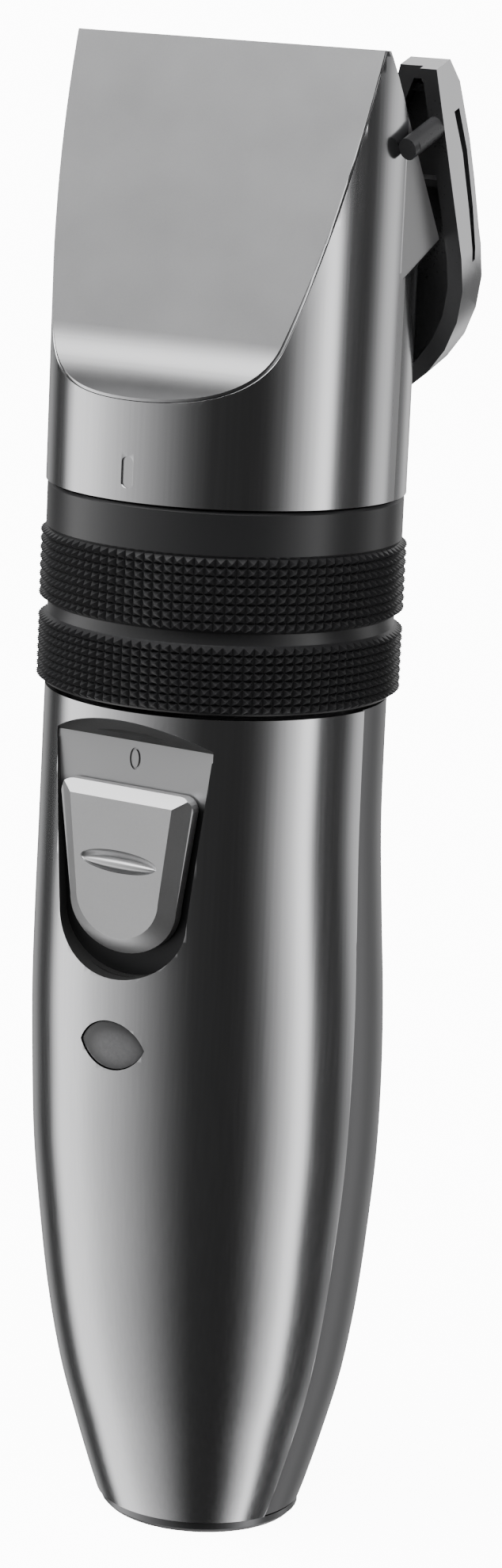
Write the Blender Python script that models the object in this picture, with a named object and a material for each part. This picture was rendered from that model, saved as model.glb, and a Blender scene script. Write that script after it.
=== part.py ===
"""Cordless hair clipper: taper dial, sliding switch and a hinged rear blade unit, shown tilted open.

Frame: origin where the dial's axis meets the resting face, +Z up to the blade end, -Y the front.
All lengths are metres. Each named object is one physical piece.
"""

import math

import bmesh
import bpy
from mathutils import Matrix, Vector

MM = 0.001

# Overall sizes
BODY_HEIGHT = 105.1 * MM  # resting face to the bottom of the dial
DIAL_HEIGHT = 24.4 * MM  # height of the dial
HEAD_HEIGHT = 52.5 * MM  # bottom of the head to its ridge
BARREL_R = 21.5 * MM  # outer radius of the head's barrel

# Clearances
GAP = 0.3 * MM  # between pieces that touch
RUN_GAP = 0.4 * MM  # between pieces that move past each other

# Handle
WALL = 1.8 * MM
REAR_STEP = 0.4 * MM  # how far the rear shell lies below the front shell's edge
SEAM_Y = -0.3 * MM
CAP_HEIGHT = 1.4 * MM
CAP_SPIGOT_R = 9.5 * MM
CAP_SPIGOT_TOP = 6.0 * MM
SOCKET_R = 3.4 * MM
SOCKET_BORE_R = 1.75 * MM
SOCKET_PIN_R = 0.6 * MM
SOCKET_LENGTH = 11.0 * MM
SOCKET_SET_BACK = 6.0 * MM  # the socket's axis behind the middle of the cap

# Switch
RECESS_HALF_WIDTH = 11.0 * MM
RECESS_TAPER = 2.0 * MM  # how much narrower each side is at the round end
RECESS_DEPTH = 4.1 * MM  # below the front of the barrel
RECESS_FLOOR_Y = RECESS_DEPTH - BARREL_R
RECESS_FLOOR_WALL = 1.5 * MM
RECESS_TOP_DROP = 4.4 * MM  # from the bottom of the dial to the recess's top corners
RECESS_LENGTH = 28.2 * MM
BUTTON_TRAVEL = 5.0 * MM
BUTTON_END_CLEAR = 3.2 * MM  # both ends together
BUTTON_LENGTH = RECESS_LENGTH - BUTTON_TRAVEL - BUTTON_END_CLEAR
BUTTON_SIDE_CLEAR = 1.7 * MM
BUTTON_HALF_WIDTH = RECESS_HALF_WIDTH - BUTTON_SIDE_CLEAR
BUTTON_THICKNESS = 2.8 * MM
BUTTON_FACE_Y = RECESS_FLOOR_Y - BUTTON_THICKNESS
BUTTON_BEVEL = 1.3 * MM
STEM_HALF_WIDTH = 2.5 * MM
STEM_HEIGHT = 6.0 * MM
SLIDER_HALF_WIDTH = 5.0 * MM
SLIDER_HEIGHT = 9.0 * MM
SLIDER_THICKNESS = 1.4 * MM
LENS_HALF_WIDTH = 4.4 * MM
LENS_HALF_HEIGHT = 2.9 * MM
LENS_HEIGHT = 64.3 * MM
LENS_THICKNESS = 2.2 * MM

# Battery, board and chassis
CELL_R = 9.1 * MM
CELL_LENGTH = 65.0 * MM
CELL_BOTTOM = 18.0 * MM
CELL_SET_IN = 16.5 * MM  # the cell's axis in front of the barrel's rear
CELL_Y = BARREL_R - CELL_SET_IN
CHASSIS_WALL = 1.2 * MM
BOARD_THICKNESS = 1.2 * MM
BOARD_HALF_WIDTH = 10.5 * MM
BOARD_BOTTOM = 26.0 * MM
BOARD_TOP = BODY_HEIGHT - 9.1 * MM

# Neck, dial and motor
DIAL_RIM = BARREL_R - 0.2 * MM  # radius of the dial's smooth band
DIAL_GRIP_R = BARREL_R + 0.5 * MM
DIAL_GROOVE_R = BARREL_R - 0.6 * MM
DIAL_BAND = 6.6 * MM
DIAL_GRIP_HEIGHT = 8.2 * MM
DIAL_GROOVE = 2.0 * MM
DIAL_INNER_R = BARREL_R - 1.8 * MM
CAM_WALL = 1.2 * MM
NECK_WALL = 1.4 * MM
NECK_OVERLAP = 7.0 * MM  # how far the neck runs into the handle and into the head
COLLAR_LIFT = 1.2 * MM
MOTOR_R = 11.8 * MM
MOTOR_LENGTH = 26.0 * MM
MOTOR_PLATE = 2.0 * MM
SHAFT_R = 1.2 * MM
BUSH_R = 3.0 * MM
ECCENTRIC_R = 4.0 * MM
ECCENTRIC_HEIGHT = 3.0 * MM
ECCENTRIC_THROW = 1.2 * MM
CRANK_R = 1.1 * MM
CRANK_HEIGHT = 5.0 * MM
YOKE_STROKE = 1.2 * MM
YOKE_THICKNESS = 3.0 * MM
YOKE_RIM = 1.6 * MM
YOKE_ARM_HALF = 2.0 * MM
YOKE_GUIDE = 1.5 * MM

# Head: a front slope under the cover, a rear slope behind the blade unit, and a ridge between them
RIDGE_SET_IN = 24.25 * MM  # the ridge in front of the barrel's rear
RIDGE_Y = BARREL_R - RIDGE_SET_IN
FRONT_SLOPE = math.radians(18.1)
REAR_SLOPE = math.radians(30.9)
HEAD_WALL = 1.8 * MM
HEAD_SIDE_X = BARREL_R - 0.6 * MM
CHEEK_DROP = 23.0 * MM  # ridge to the cheeks' lower rear corner
CHEEK_RISE = 3.8 * MM  # fall of the cheeks' lower edge towards the front
COVER_THICKNESS = 1.1 * MM
COVER_STAND_OFF = 0.8 * MM  # how far the cover's face stands in front of the ridge
SCOOP_R = 10.8 * MM
SCOOP_BOTTOM = 11.5 * MM  # height of the scoop's lowest point above the head's bottom edge
WINDOW_HALF_WIDTH = 14.5 * MM

# Rear blade unit, in its own frame: z up along its front plane, y away from the head
UNIT_TILT = math.radians(20.3)
UNIT_SET_BACK = 6.95 * MM  # the unit's origin behind the ridge
UNIT_ORIGIN_Y = RIDGE_Y + UNIT_SET_BACK
UNIT_ORIGIN_DROP = 3.8 * MM  # below the ridge
UNIT_HALF_WIDTH = BARREL_R + 2.3 * MM
UNIT_STRAIGHT = 22.0 * MM
UNIT_ROUND = 22.0 * MM
UNIT_DEPTH = 5.3 * MM
UNIT_TAIL_DEPTH = 2.6 * MM
TAIL_CLEAR = 0.45 * MM  # between the tail and the head it rests on
UNIT_RIM = 2.0 * MM
UNIT_POCKET = 3.2 * MM
HORN_HEIGHT = 1.6 * MM
HORN_WIDTH = 5.3 * MM
UNIT_MIDDLE_DROP = 3.0 * MM
PIVOT_DROP = 23.0 * MM
PIVOT_SET_IN = 2.3 * MM
PIN_R = 0.9 * MM
LUG_X = 10.5 * MM
LUG_WIDTH = 3.0 * MM
LUG_R = 2.1 * MM
PEG_R = 1.05 * MM
PEG_LENGTH = 5.6 * MM
PEG_DROP = 5.6 * MM
BLADE_HALF_WIDTH = 16.5 * MM
CUTTER_HALF_WIDTH = 13.2 * MM
BLADE_THICKNESS = 0.9 * MM
COMB_TIP = 1.6 * MM  # above the unit's origin
CUTTER_SET_BACK = 1.2 * MM
TOOTH_PITCH = 1.5 * MM
TOOTH_LENGTH = 4.0 * MM
BLADE_LENGTH = 17.5 * MM
CUTTER_LENGTH = 9.0 * MM
SCREW_R = 1.5 * MM
SCREW_HEAD_R = 2.6 * MM

FINGER_HALF_WIDTH = 3.0 * MM
FINGER_REACH = 11.4 * MM  # above the head's bottom edge, when the collar is lifted
SHELL_SCREW_HEIGHTS = (20 * MM, BODY_HEIGHT - 17.1 * MM)
WINDOW_DROP = 4.9 * MM  # ridge to the top of the head's rear window
WINDOW_DEPTH = 0.8 * MM  # the window's front end, ahead of the dial's axis
PIN_HALF = 16.0 * MM
PIN_BOSS_WALL = 1.4 * MM

SCREW_X = 12.0 * MM
SCREW_DROP = 11.2 * MM
FORK_PLAY = 2.9 * MM  # the carrier's fork clears the yoke's tip over both strokes
RIB_DROPS = (1.6 * MM, 13.6 * MM)
RIB_HEIGHT = 1.2 * MM
RIB_WIDTH = 1.0 * MM
# Share of the unit's depth, and drop in millimetres, round each side slot
SIDE_SLOT = (
    (0.50, 4.6),
    (0.72, 4.6),
    (0.82, 10.0),
    (0.76, 17.0),
    (0.60, 23.5),
    (0.48, 23.5),
    (0.58, 17.0),
    (0.62, 10.0),
)

# Heights that follow from the sizes above
HEAD_BOTTOM = BODY_HEIGHT + DIAL_HEIGHT
RIDGE_Z = HEAD_BOTTOM + HEAD_HEIGHT
CAM_OUTER_R = DIAL_INNER_R - GAP
CAM_INNER_R = CAM_OUTER_R - CAM_WALL
NECK_R = CAM_INNER_R - RUN_GAP
NECK_INNER_R = NECK_R - NECK_WALL
HEAD_INNER_R = BARREL_R - HEAD_WALL
MOTOR_TOP = HEAD_BOTTOM - NECK_OVERLAP + 2 * MM
ECCENTRIC_BOTTOM = MOTOR_TOP + MOTOR_PLATE + 6 * MM
CRANK_BOTTOM = ECCENTRIC_BOTTOM + ECCENTRIC_HEIGHT
YOKE_BOTTOM = CRANK_BOTTOM + RUN_GAP
YOKE_TIP_Z = RIDGE_Z - 11.0 * MM
YOKE_TIP_OUT = -0.5 * MM  # the yoke's tip lies this far outside the rear slope

ROUND_STEPS = 64
SMALL_STEPS = 20


def clear_scene():
    for found in list(bpy.data.objects):
        bpy.data.objects.remove(found, do_unlink=True)


def material(name, colour, roughness, metallic=0.0):
    """A Principled material, made once for each name."""
    found = bpy.data.materials.get(name)
    if found:
        return found
    made = bpy.data.materials.new(name)
    made.use_nodes = True
    shader = made.node_tree.nodes["Principled BSDF"]
    shader.inputs["Base Color"].default_value = (*colour, 1.0)
    shader.inputs["Roughness"].default_value = roughness
    shader.inputs["Metallic"].default_value = metallic
    return made


def satin_metal():
    return material("satin_chrome", (0.42, 0.42, 0.43), 0.3, 1.0)


def dark_metal():
    return material("dark_chrome", (0.2, 0.2, 0.21), 0.35, 1.0)


def cover_grey():
    return material("cover_grey", (0.48, 0.48, 0.49), 0.5, 0.6)


def black_plastic():
    return material("black_plastic", (0.02, 0.02, 0.022), 0.45)


def inner_plastic():
    return material("inner_plastic", (0.12, 0.12, 0.13), 0.6)


def steel():
    return material("steel", (0.6, 0.6, 0.62), 0.3, 1.0)


def add_object(name, bm, look, parent=None):
    """A named object from a bmesh, which this frees, shaded smooth with sharp edges kept."""
    bmesh.ops.recalc_face_normals(bm, faces=bm.faces)
    mesh = bpy.data.meshes.new(name)
    bm.to_mesh(mesh)
    bm.free()
    mesh.materials.append(look)
    mesh.shade_smooth()
    mesh.set_sharp_from_angle(angle=math.radians(35))
    made = bpy.data.objects.new(name, mesh)
    bpy.context.scene.collection.objects.link(made)
    made.parent = parent
    return made


def as_cutter(made):
    made.hide_render = True
    made.display_type = "WIRE"
    return made


def combine(target, other, operation):
    """A Boolean on target with other, which becomes a hidden helper."""
    as_cutter(other)
    step = target.modifiers.new(operation.lower(), "BOOLEAN")
    step.operation = operation
    step.object = other
    step.solver = "EXACT"
    return target


def cut(target, other):
    return combine(target, other, "DIFFERENCE")


def join(target, other):
    return combine(target, other, "UNION")


def keep_inside(target, other):
    return combine(target, other, "INTERSECT")


def soften(target, width, angle=30):
    """Rounds the edges sharper than this angle."""
    step = target.modifiers.new("soften", "BEVEL")
    step.width = width
    step.segments = 2
    step.limit_method = "ANGLE"
    step.angle_limit = math.radians(angle)
    return target


def prism(name, outline, axis, low, high, look, parent=None):
    """An outline extruded along X, Y or Z. It holds (y, z), (x, z) or (x, y) pairs."""
    place = {
        "X": lambda a, b, depth: (depth, a, b),
        "Y": lambda a, b, depth: (a, depth, b),
        "Z": lambda a, b, depth: (a, b, depth),
    }[axis]
    bm = bmesh.new()
    start = bm.faces.new([bm.verts.new(place(a, b, low)) for a, b in outline])
    pushed = bmesh.ops.extrude_face_region(bm, geom=[start])
    moved = [item for item in pushed["geom"] if isinstance(item, bmesh.types.BMVert)]
    bmesh.ops.translate(bm, verts=moved, vec=Vector(place(0, 0, high - low)))
    return add_object(name, bm, look, parent)


def box(name, low, high, look, parent=None):
    outline = [(low[0], low[1]), (high[0], low[1]), (high[0], high[1]), (low[0], high[1])]
    return prism(name, outline, "Z", low[2], high[2], look, parent)


def turned(name, profile, look, steps=ROUND_STEPS, centre=(0.0, 0.0), parent=None):
    """A closed (radius, height) outline turned about a vertical axis. Points on the axis close it."""
    bm = bmesh.new()
    rings = []
    for radius, height in profile:
        if radius == 0:
            rings.append([bm.verts.new((centre[0], centre[1], height))] * steps)
            continue
        ring = []
        for index in range(steps):
            angle = 2 * math.pi * (index + 0.5) / steps
            x = centre[0] + radius * math.cos(angle)
            y = centre[1] + radius * math.sin(angle)
            ring.append(bm.verts.new((x, y, height)))
        rings.append(ring)
    for first, second in zip(rings, rings[1:] + rings[:1]):
        for index in range(steps):
            after = (index + 1) % steps
            corners = [first[index], first[after], second[after], second[index]]
            distinct = list(dict.fromkeys(corners))
            if len(distinct) > 2:
                bm.faces.new(distinct)
    return add_object(name, bm, look, parent)


def rod(name, radius, low, high, look, centre=(0.0, 0.0), steps=SMALL_STEPS, parent=None):
    profile = [(0, low), (radius, low), (radius, high), (0, high)]
    return turned(name, profile, look, steps, centre, parent)


def tube(name, inner, outer, low, high, look, steps=ROUND_STEPS, centre=(0.0, 0.0), parent=None):
    profile = [(inner, low), (outer, low), (outer, high), (inner, high)]
    return turned(name, profile, look, steps, centre, parent)


def circle(radius, centre=(0.0, 0.0), steps=SMALL_STEPS, start=0.0, sweep=2 * math.pi):
    """Points on an arc, without its last point where it is a full circle."""
    full = abs(sweep - 2 * math.pi) < 1e-9
    count = steps if full else steps + 1
    step = sweep / steps
    return [
        (centre[0] + radius * math.cos(start + step * i), centre[1] + radius * math.sin(start + step * i))
        for i in range(count)
    ]


def turn_to(made, matrix):
    """Moves an object's mesh, so that a shape drawn about Z lies along another axis."""
    made.data.transform(matrix)
    return made


def facing_y(made, x, z, turn=-1):
    """Lays a shape drawn about Z along Y, in the unit's frame or the world's."""
    return turn_to(made, Matrix.Translation((x, 0, z)) @ Matrix.Rotation(turn * math.pi / 2, 4, "X"))


def along_x(made, y, z):
    return turn_to(made, Matrix.Translation((0, y, z)) @ Matrix.Rotation(math.pi / 2, 4, "Y"))


# ---------------------------------------------------------------- handle

# Share of the handle's height, radius as a share of the barrel's, and how far the middle lies behind the axis
BODY_SHAPE = (
    (0.000, 0.577, 3.9 * MM),
    (0.038, 0.640, 3.8 * MM),
    (0.100, 0.730, 3.6 * MM),
    (0.176, 0.828, 3.3 * MM),
    (0.262, 0.902, 2.9 * MM),
    (0.357, 0.956, 2.5 * MM),
    (0.452, 0.996, 2.1 * MM),
    (0.547, 1.010, 1.7 * MM),
    (0.642, 1.009, 1.1 * MM),
    (0.737, 0.993, 0.5 * MM),
    (0.851, 0.974, 0.0),
    (1.000, 0.968, 0.0),
)


def body_section(height):
    """(radius, middle) of the handle at this height, on a smooth curve through BODY_SHAPE."""
    share = min(max(height / BODY_HEIGHT, 0.0), 1.0)
    last = len(BODY_SHAPE) - 1
    index = 0
    while index < last - 1 and BODY_SHAPE[index + 1][0] <= share:
        index += 1
    low, high = BODY_SHAPE[index], BODY_SHAPE[index + 1]
    before, after = BODY_SHAPE[max(index - 1, 0)], BODY_SHAPE[min(index + 2, last)]
    span = high[0] - low[0]
    t = (share - low[0]) / span
    values = []
    for column in (1, 2):
        slope_low = (high[column] - before[column]) / (high[0] - before[0]) * span
        slope_high = (after[column] - low[column]) / (after[0] - low[0]) * span
        a = 2 * t**3 - 3 * t**2 + 1
        b = t**3 - 2 * t**2 + t
        c = -2 * t**3 + 3 * t**2
        d = t**3 - t**2
        values.append(a * low[column] + b * slope_low + c * high[column] + d * slope_high)
    return values[0] * BARREL_R, values[1]


def body_skin(name, inset, low, high, levels=15, steps=48):
    """The handle's outer form, drawn in by inset, between two heights."""
    bm = bmesh.new()
    rings = []
    for level in range(levels):
        height = low + (high - low) * level / (levels - 1)
        radius, middle = body_section(height)
        radius -= inset
        points = circle(radius, (0, middle), steps)
        rings.append([bm.verts.new((x, y, height)) for x, y in points])
    bm.faces.new(rings[0])
    bm.faces.new(rings[-1])
    for first, second in zip(rings, rings[1:]):
        for index in range(steps):
            after = (index + 1) % steps
            bm.faces.new([first[index], first[after], second[after], second[index]])
    return add_object(name, bm, satin_metal())


def rounded_taper(half_width, taper, top, length, steps=12):
    """The (x, z) outline of a shield: straight sides that close a little, then a round end at the bottom."""
    end_half = half_width - taper
    round_height = end_half * 0.82
    start = top - length + round_height
    outline = [(half_width, top), (-half_width, top)]
    for index in range(steps + 1):
        angle = math.pi * index / steps
        outline.append((-end_half * math.cos(angle), start - round_height * math.sin(angle)))
    return outline


def recess_top():
    return BODY_HEIGHT - RECESS_TOP_DROP


def make_recess_cutter():
    """The switch recess: a flat floor, and a top wall that slopes up as it comes forward."""
    outline = rounded_taper(RECESS_HALF_WIDTH, RECESS_TAPER, recess_top(), RECESS_LENGTH)
    cutter = prism("recess_cutter", outline, "Y", -2 * BARREL_R, RECESS_FLOOR_Y, satin_metal())
    front = -1.2 * BARREL_R
    rise = RECESS_FLOOR_Y - front
    ramp = [
        (RECESS_FLOOR_Y, recess_top() - MM),
        (RECESS_FLOOR_Y, recess_top()),
        (front, recess_top() + 0.87 * rise),
        (front, recess_top() - MM),
    ]
    width = RECESS_HALF_WIDTH
    join(cutter, prism("recess_top_cutter", ramp, "X", -width, width, satin_metal()))
    return cutter


def stem_middle():
    return recess_top() - RECESS_LENGTH + 13.6 * MM


def make_shells():
    low = CAP_HEIGHT + GAP
    top = BODY_HEIGHT - GAP
    reach = 2 * BARREL_R
    front = body_skin("front_shell", 0.0, low, top)
    cut(front, body_skin("front_hollow", WALL, low - MM, top + MM))
    cut(front, box("front_trim", (-reach, SEAM_Y, 0), (reach, reach, HEAD_BOTTOM), satin_metal()))
    # The recess needs material behind its floor where the handle's own wall would be cut away.
    floor_low = recess_top() - RECESS_LENGTH - 2 * MM
    pad = box(
        "recess_pad",
        (-RECESS_HALF_WIDTH - 0.6 * MM, RECESS_FLOOR_Y - 1.0 * MM, floor_low),
        (RECESS_HALF_WIDTH + 0.6 * MM, RECESS_FLOOR_Y + RECESS_FLOOR_WALL, top - 0.5 * MM),
        satin_metal(),
    )
    keep_inside(pad, body_skin("pad_limit", 0.3 * MM, low, top))
    join(front, pad)
    cut(front, make_recess_cutter())
    slot_low = stem_middle() - STEM_HEIGHT / 2 - RUN_GAP
    slot_high = stem_middle() + STEM_HEIGHT / 2 + BUTTON_TRAVEL + RUN_GAP
    half = STEM_HALF_WIDTH + RUN_GAP
    slot = box("stem_slot", (-half, -reach, slot_low), (half, -10 * MM, slot_high), satin_metal())
    cut(front, slot)
    lens_hole = lens_body("lens_hole", GAP, -reach, -10 * MM)
    cut(front, lens_hole)

    rear = body_skin("rear_shell", REAR_STEP, low, top)
    rear.data.materials[0] = dark_metal()
    cut(rear, body_skin("rear_hollow", WALL + REAR_STEP, low - MM, top + MM))
    seam = SEAM_Y + GAP
    cut(rear, box("rear_trim", (-reach, -reach, 0), (reach, seam, HEAD_BOTTOM), satin_metal()))
    for height in SHELL_SCREW_HEIGHTS:
        radius, middle = body_section(height)
        hole = rod("screw_hole", SCREW_HEAD_R + GAP, -reach, reach, dark_metal())
        turn_to(hole, Matrix.Translation((0, reach, height)) @ Matrix.Rotation(math.pi / 2, 4, "X"))
        cut(rear, hole)
    return front, rear


def lens_outline(extra, steps=10):
    """An almond with pointed ends left and right, as (x, z) pairs."""
    half, rise = LENS_HALF_WIDTH + extra, LENS_HALF_HEIGHT + extra
    radius = (half**2 + rise**2) / (2 * rise)
    angle = math.asin(half / radius)
    points = []
    for index in range(steps + 1):
        turn = -angle + 2 * angle * index / steps
        points.append((radius * math.sin(turn), LENS_HEIGHT + radius * math.cos(turn) - radius + rise))
    for index in range(1, steps):
        turn = angle - 2 * angle * index / steps
        points.append((radius * math.sin(turn), LENS_HEIGHT - radius * math.cos(turn) + radius - rise))
    return points


def lens_body(name, extra, low, high):
    return prism(name, lens_outline(extra), "Y", low, high, inner_plastic())


def make_lens():
    radius, middle = body_section(LENS_HEIGHT)
    face = middle - radius
    lens = lens_body("led_lens", 0.0, face - MM, face + LENS_THICKNESS)
    lens.data.materials[0] = material("lens_grey", (0.3, 0.3, 0.31), 0.35)
    keep_inside(lens, body_skin("lens_limit", 0.25 * MM, CAP_HEIGHT, BODY_HEIGHT))
    return lens


def cap_middle():
    return body_section(0)[1]


def make_bottom_cap():
    radius = body_section(CAP_HEIGHT)[0] - 0.5 * MM
    profile = [
        (0, 0),
        (radius - 0.6 * MM, 0),
        (radius, 0.6 * MM),
        (radius, CAP_HEIGHT),
        (CAP_SPIGOT_R, CAP_HEIGHT),
        (CAP_SPIGOT_R, CAP_SPIGOT_TOP),
        (0, CAP_SPIGOT_TOP),
    ]
    cap = turned("bottom_cap", profile, dark_metal(), 48, (0, cap_middle()))
    axis = (0, cap_middle() + SOCKET_SET_BACK)
    cut(cap, rod("socket_seat", SOCKET_R + GAP, -MM, CAP_SPIGOT_TOP + MM, dark_metal(), axis))
    return cap


def make_charging_socket():
    low, high = 0.8 * MM, 0.8 * MM + SOCKET_LENGTH
    bore_top = high - 1.5 * MM
    profile = [
        (0, low + 1.6 * MM),
        (SOCKET_PIN_R, low + 1.6 * MM),
        (SOCKET_PIN_R, bore_top),
        (SOCKET_BORE_R, bore_top),
        (SOCKET_BORE_R, low),
        (SOCKET_R, low),
        (SOCKET_R, high),
        (0, high),
    ]
    return turned("charging_socket", profile, black_plastic(), 24, (0, cap_middle() + SOCKET_SET_BACK))


def make_chassis():
    """A trough open to the front that holds the cell, standing on the cap and carrying the motor's plate."""
    inner = CELL_R + GAP
    outer = inner + CHASSIS_WALL
    low = CAP_SPIGOT_TOP + GAP
    high = motor_bottom() - GAP
    front = board_back() + GAP
    outline = [(outer, front)] + circle(outer, (0, CELL_Y), 16, 0, math.pi) + [(-outer, front)]
    outline += [(-inner, front)] + circle(inner, (0, CELL_Y), 16, math.pi, -math.pi) + [(inner, front)]
    chassis = prism("chassis", outline, "Z", low, high, inner_plastic())
    floor_low = CELL_BOTTOM - GAP - CHASSIS_WALL
    floor = [(outer, front)] + circle(outer, (0, CELL_Y), 16, 0, math.pi) + [(-outer, front)]
    join(chassis, prism("chassis_floor", floor, "Z", floor_low, CELL_BOTTOM - GAP, inner_plastic()))
    limit = body_skin("chassis_limit", WALL + REAR_STEP + GAP, low - MM, high + MM)
    return keep_inside(chassis, limit)


def motor_bottom():
    return MOTOR_TOP - MOTOR_LENGTH


def board_back():
    return CELL_Y - CELL_R - BOARD_THICKNESS - 1.0 * MM


def make_electronics():
    cell = rod("battery_cell", CELL_R, CELL_BOTTOM, CELL_BOTTOM + CELL_LENGTH, cell_look(), (0, CELL_Y), 32)
    front = board_back() - BOARD_THICKNESS
    board = box(
        "circuit_board",
        (-BOARD_HALF_WIDTH, front, BOARD_BOTTOM),
        (BOARD_HALF_WIDTH, board_back(), BOARD_TOP),
        material("board_green", (0.03, 0.16, 0.07), 0.5),
    )
    led_low = (-1.6 * MM, front - GAP - 1.2 * MM, LENS_HEIGHT - 1.6 * MM)
    led_high = (1.6 * MM, front - GAP, LENS_HEIGHT + 1.6 * MM)
    box("indicator_led", led_low, led_high, material("led_white", (0.8, 0.8, 0.75), 0.3))
    pipe_high = front - 2 * GAP - 1.2 * MM
    radius, middle = body_section(LENS_HEIGHT)
    pipe_low = middle - radius + LENS_THICKNESS + GAP
    pipe = rod("light_pipe", 1.8 * MM, pipe_low, pipe_high, material("clear_plastic", (0.8, 0.8, 0.8), 0.1))
    turn_to(pipe, Matrix.Translation((0, 0, LENS_HEIGHT)) @ Matrix.Rotation(-math.pi / 2, 4, "X"))
    block_low = (-6 * MM, front - GAP - 4 * MM, stem_middle() - 6 * MM)
    block_high = (6 * MM, front - GAP, stem_middle() + 6 * MM)
    box("switch_contacts", block_low, block_high, black_plastic())
    return cell, board


def cell_look():
    return material("cell_wrap", (0.05, 0.12, 0.3), 0.4)


def contact_face():
    return board_back() - BOARD_THICKNESS - GAP - 4 * MM


# ---------------------------------------------------------------- switch


def make_switch():
    hub = bpy.data.objects.new("switch_slide", None)
    bpy.context.scene.collection.objects.link(hub)
    bottom = recess_top() - RECESS_LENGTH + 2.9 * MM
    outline = rounded_taper(BUTTON_HALF_WIDTH, 1.8 * MM, bottom + BUTTON_LENGTH, BUTTON_LENGTH)
    back = RECESS_FLOOR_Y - GAP
    button = prism("switch_button", outline, "Y", BUTTON_FACE_Y, back, satin_metal(), hub)
    soften(button, BUTTON_BEVEL, 60)
    # The bevel also rounds the back edge, which faces the recess floor.
    stem_low = (-STEM_HALF_WIDTH, back - MM, stem_middle() - STEM_HEIGHT / 2)
    stem_back = RECESS_FLOOR_Y + RECESS_FLOOR_WALL + 0.2 * MM
    stem_high = (STEM_HALF_WIDTH, stem_back, stem_middle() + STEM_HEIGHT / 2)
    join(button, box("button_stem", stem_low, stem_high, satin_metal(), hub))
    grip_middle = bottom + BUTTON_LENGTH * 0.56
    grip = rod("button_grip", 5.6 * MM, -MM, 1.4 * MM, satin_metal(), steps=24, parent=hub)
    flatten = Matrix.Diagonal((1.0, 1.0, 0.3, 1.0))
    place = Matrix.Translation((0, BUTTON_FACE_Y + 0.8 * MM, grip_middle))
    turn_to(grip, place @ flatten @ Matrix.Rotation(math.pi / 2, 4, "X"))
    join(button, grip)

    slider_front = stem_back + GAP
    low = (-SLIDER_HALF_WIDTH, slider_front, stem_middle() - SLIDER_HEIGHT / 2)
    high = (SLIDER_HALF_WIDTH, slider_front + SLIDER_THICKNESS, stem_middle() + SLIDER_HEIGHT / 2)
    slider = box("switch_slider", low, high, inner_plastic(), hub)
    leg_low = (-1.2 * MM, slider_front + 0.5 * MM, stem_middle() - 2 * MM)
    leg_high = (1.2 * MM, contact_face() - RUN_GAP, stem_middle() + 2 * MM)
    join(slider, box("slider_leg", leg_low, leg_high, inner_plastic(), hub))
    return button, slider


# ---------------------------------------------------------------- neck, dial and drive


def make_neck():
    low = BODY_HEIGHT - NECK_OVERLAP
    high = HEAD_BOTTOM + NECK_OVERLAP
    neck = tube("neck_sleeve", NECK_INNER_R, NECK_R, low, high, inner_plastic())
    handle_inner = body_section(BODY_HEIGHT)[0] - WALL - REAR_STEP
    foot = tube("neck_foot", NECK_R - 0.5 * MM, handle_inner - GAP, low, low + 3 * MM, inner_plastic())
    join(neck, foot)
    crown_low = high - 2 * MM
    join(neck, tube("neck_crown", NECK_R - 0.5 * MM, HEAD_INNER_R - GAP, crown_low, high, inner_plastic()))
    # A gap in the crown lets the lift collar's finger pass.
    half = FINGER_HALF_WIDTH + RUN_GAP
    gap_low = (-half, NECK_R + 0.05 * MM, crown_low - MM)
    cut(neck, box("finger_gap", gap_low, (half, BARREL_R, high + MM), inner_plastic()))
    # Its front is flat where it passes behind the switch recess.
    half = RECESS_HALF_WIDTH + MM
    flat_high = (half, RECESS_FLOOR_Y + RECESS_FLOOR_WALL + GAP, BODY_HEIGHT + GAP)
    return cut(neck, box("recess_relief", (-half, -2 * BARREL_R, low - MM), flat_high, inner_plastic()))


def make_dial():
    bottom = BODY_HEIGHT + GAP
    top = HEAD_BOTTOM - GAP
    lower_grip_top = bottom + DIAL_GRIP_HEIGHT
    upper_grip_low = lower_grip_top + DIAL_GROOVE
    upper_grip_top = top - DIAL_BAND
    bevel = 0.5 * MM
    profile = [
        (DIAL_INNER_R, bottom),
        (DIAL_RIM, bottom),
        (DIAL_GRIP_R, bottom + bevel),
        (DIAL_GRIP_R, lower_grip_top - bevel),
        (DIAL_GROOVE_R, lower_grip_top),
        (DIAL_GROOVE_R, upper_grip_low),
        (DIAL_GRIP_R, upper_grip_low + bevel),
        (DIAL_GRIP_R, upper_grip_top - bevel),
        (DIAL_RIM, upper_grip_top),
        (DIAL_RIM, top),
        (DIAL_INNER_R, top),
    ]
    turned("dial_ring", profile, black_plastic())
    cam_top = HEAD_BOTTOM - 1.5 * MM
    cam = tube("dial_cam", CAM_INNER_R, CAM_OUTER_R, BODY_HEIGHT + MM, cam_top, inner_plastic())
    notch_steps = 8
    for index in range(notch_steps):
        angle = 2 * math.pi * index / notch_steps
        centre = (CAM_INNER_R * math.cos(angle), CAM_INNER_R * math.sin(angle))
        low = cam_top - 1.5 * MM
        cut(cam, rod("cam_notch", 0.6 * MM, low, cam_top + MM, inner_plastic(), centre, 8))
    collar_low = cam_top + GAP
    collar = tube("lift_collar", CAM_INNER_R, CAM_OUTER_R, collar_low, collar_low + 2 * MM, inner_plastic())
    finger_top = HEAD_BOTTOM + FINGER_REACH - COLLAR_LIFT
    half = FINGER_HALF_WIDTH
    finger = box(
        "lift_finger",
        (-half, NECK_R + RUN_GAP + 0.1 * MM, collar_low + 0.5 * MM),
        (half, CAM_OUTER_R - 0.2 * MM, finger_top),
        inner_plastic(),
    )
    join(collar, finger)
    return collar


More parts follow.
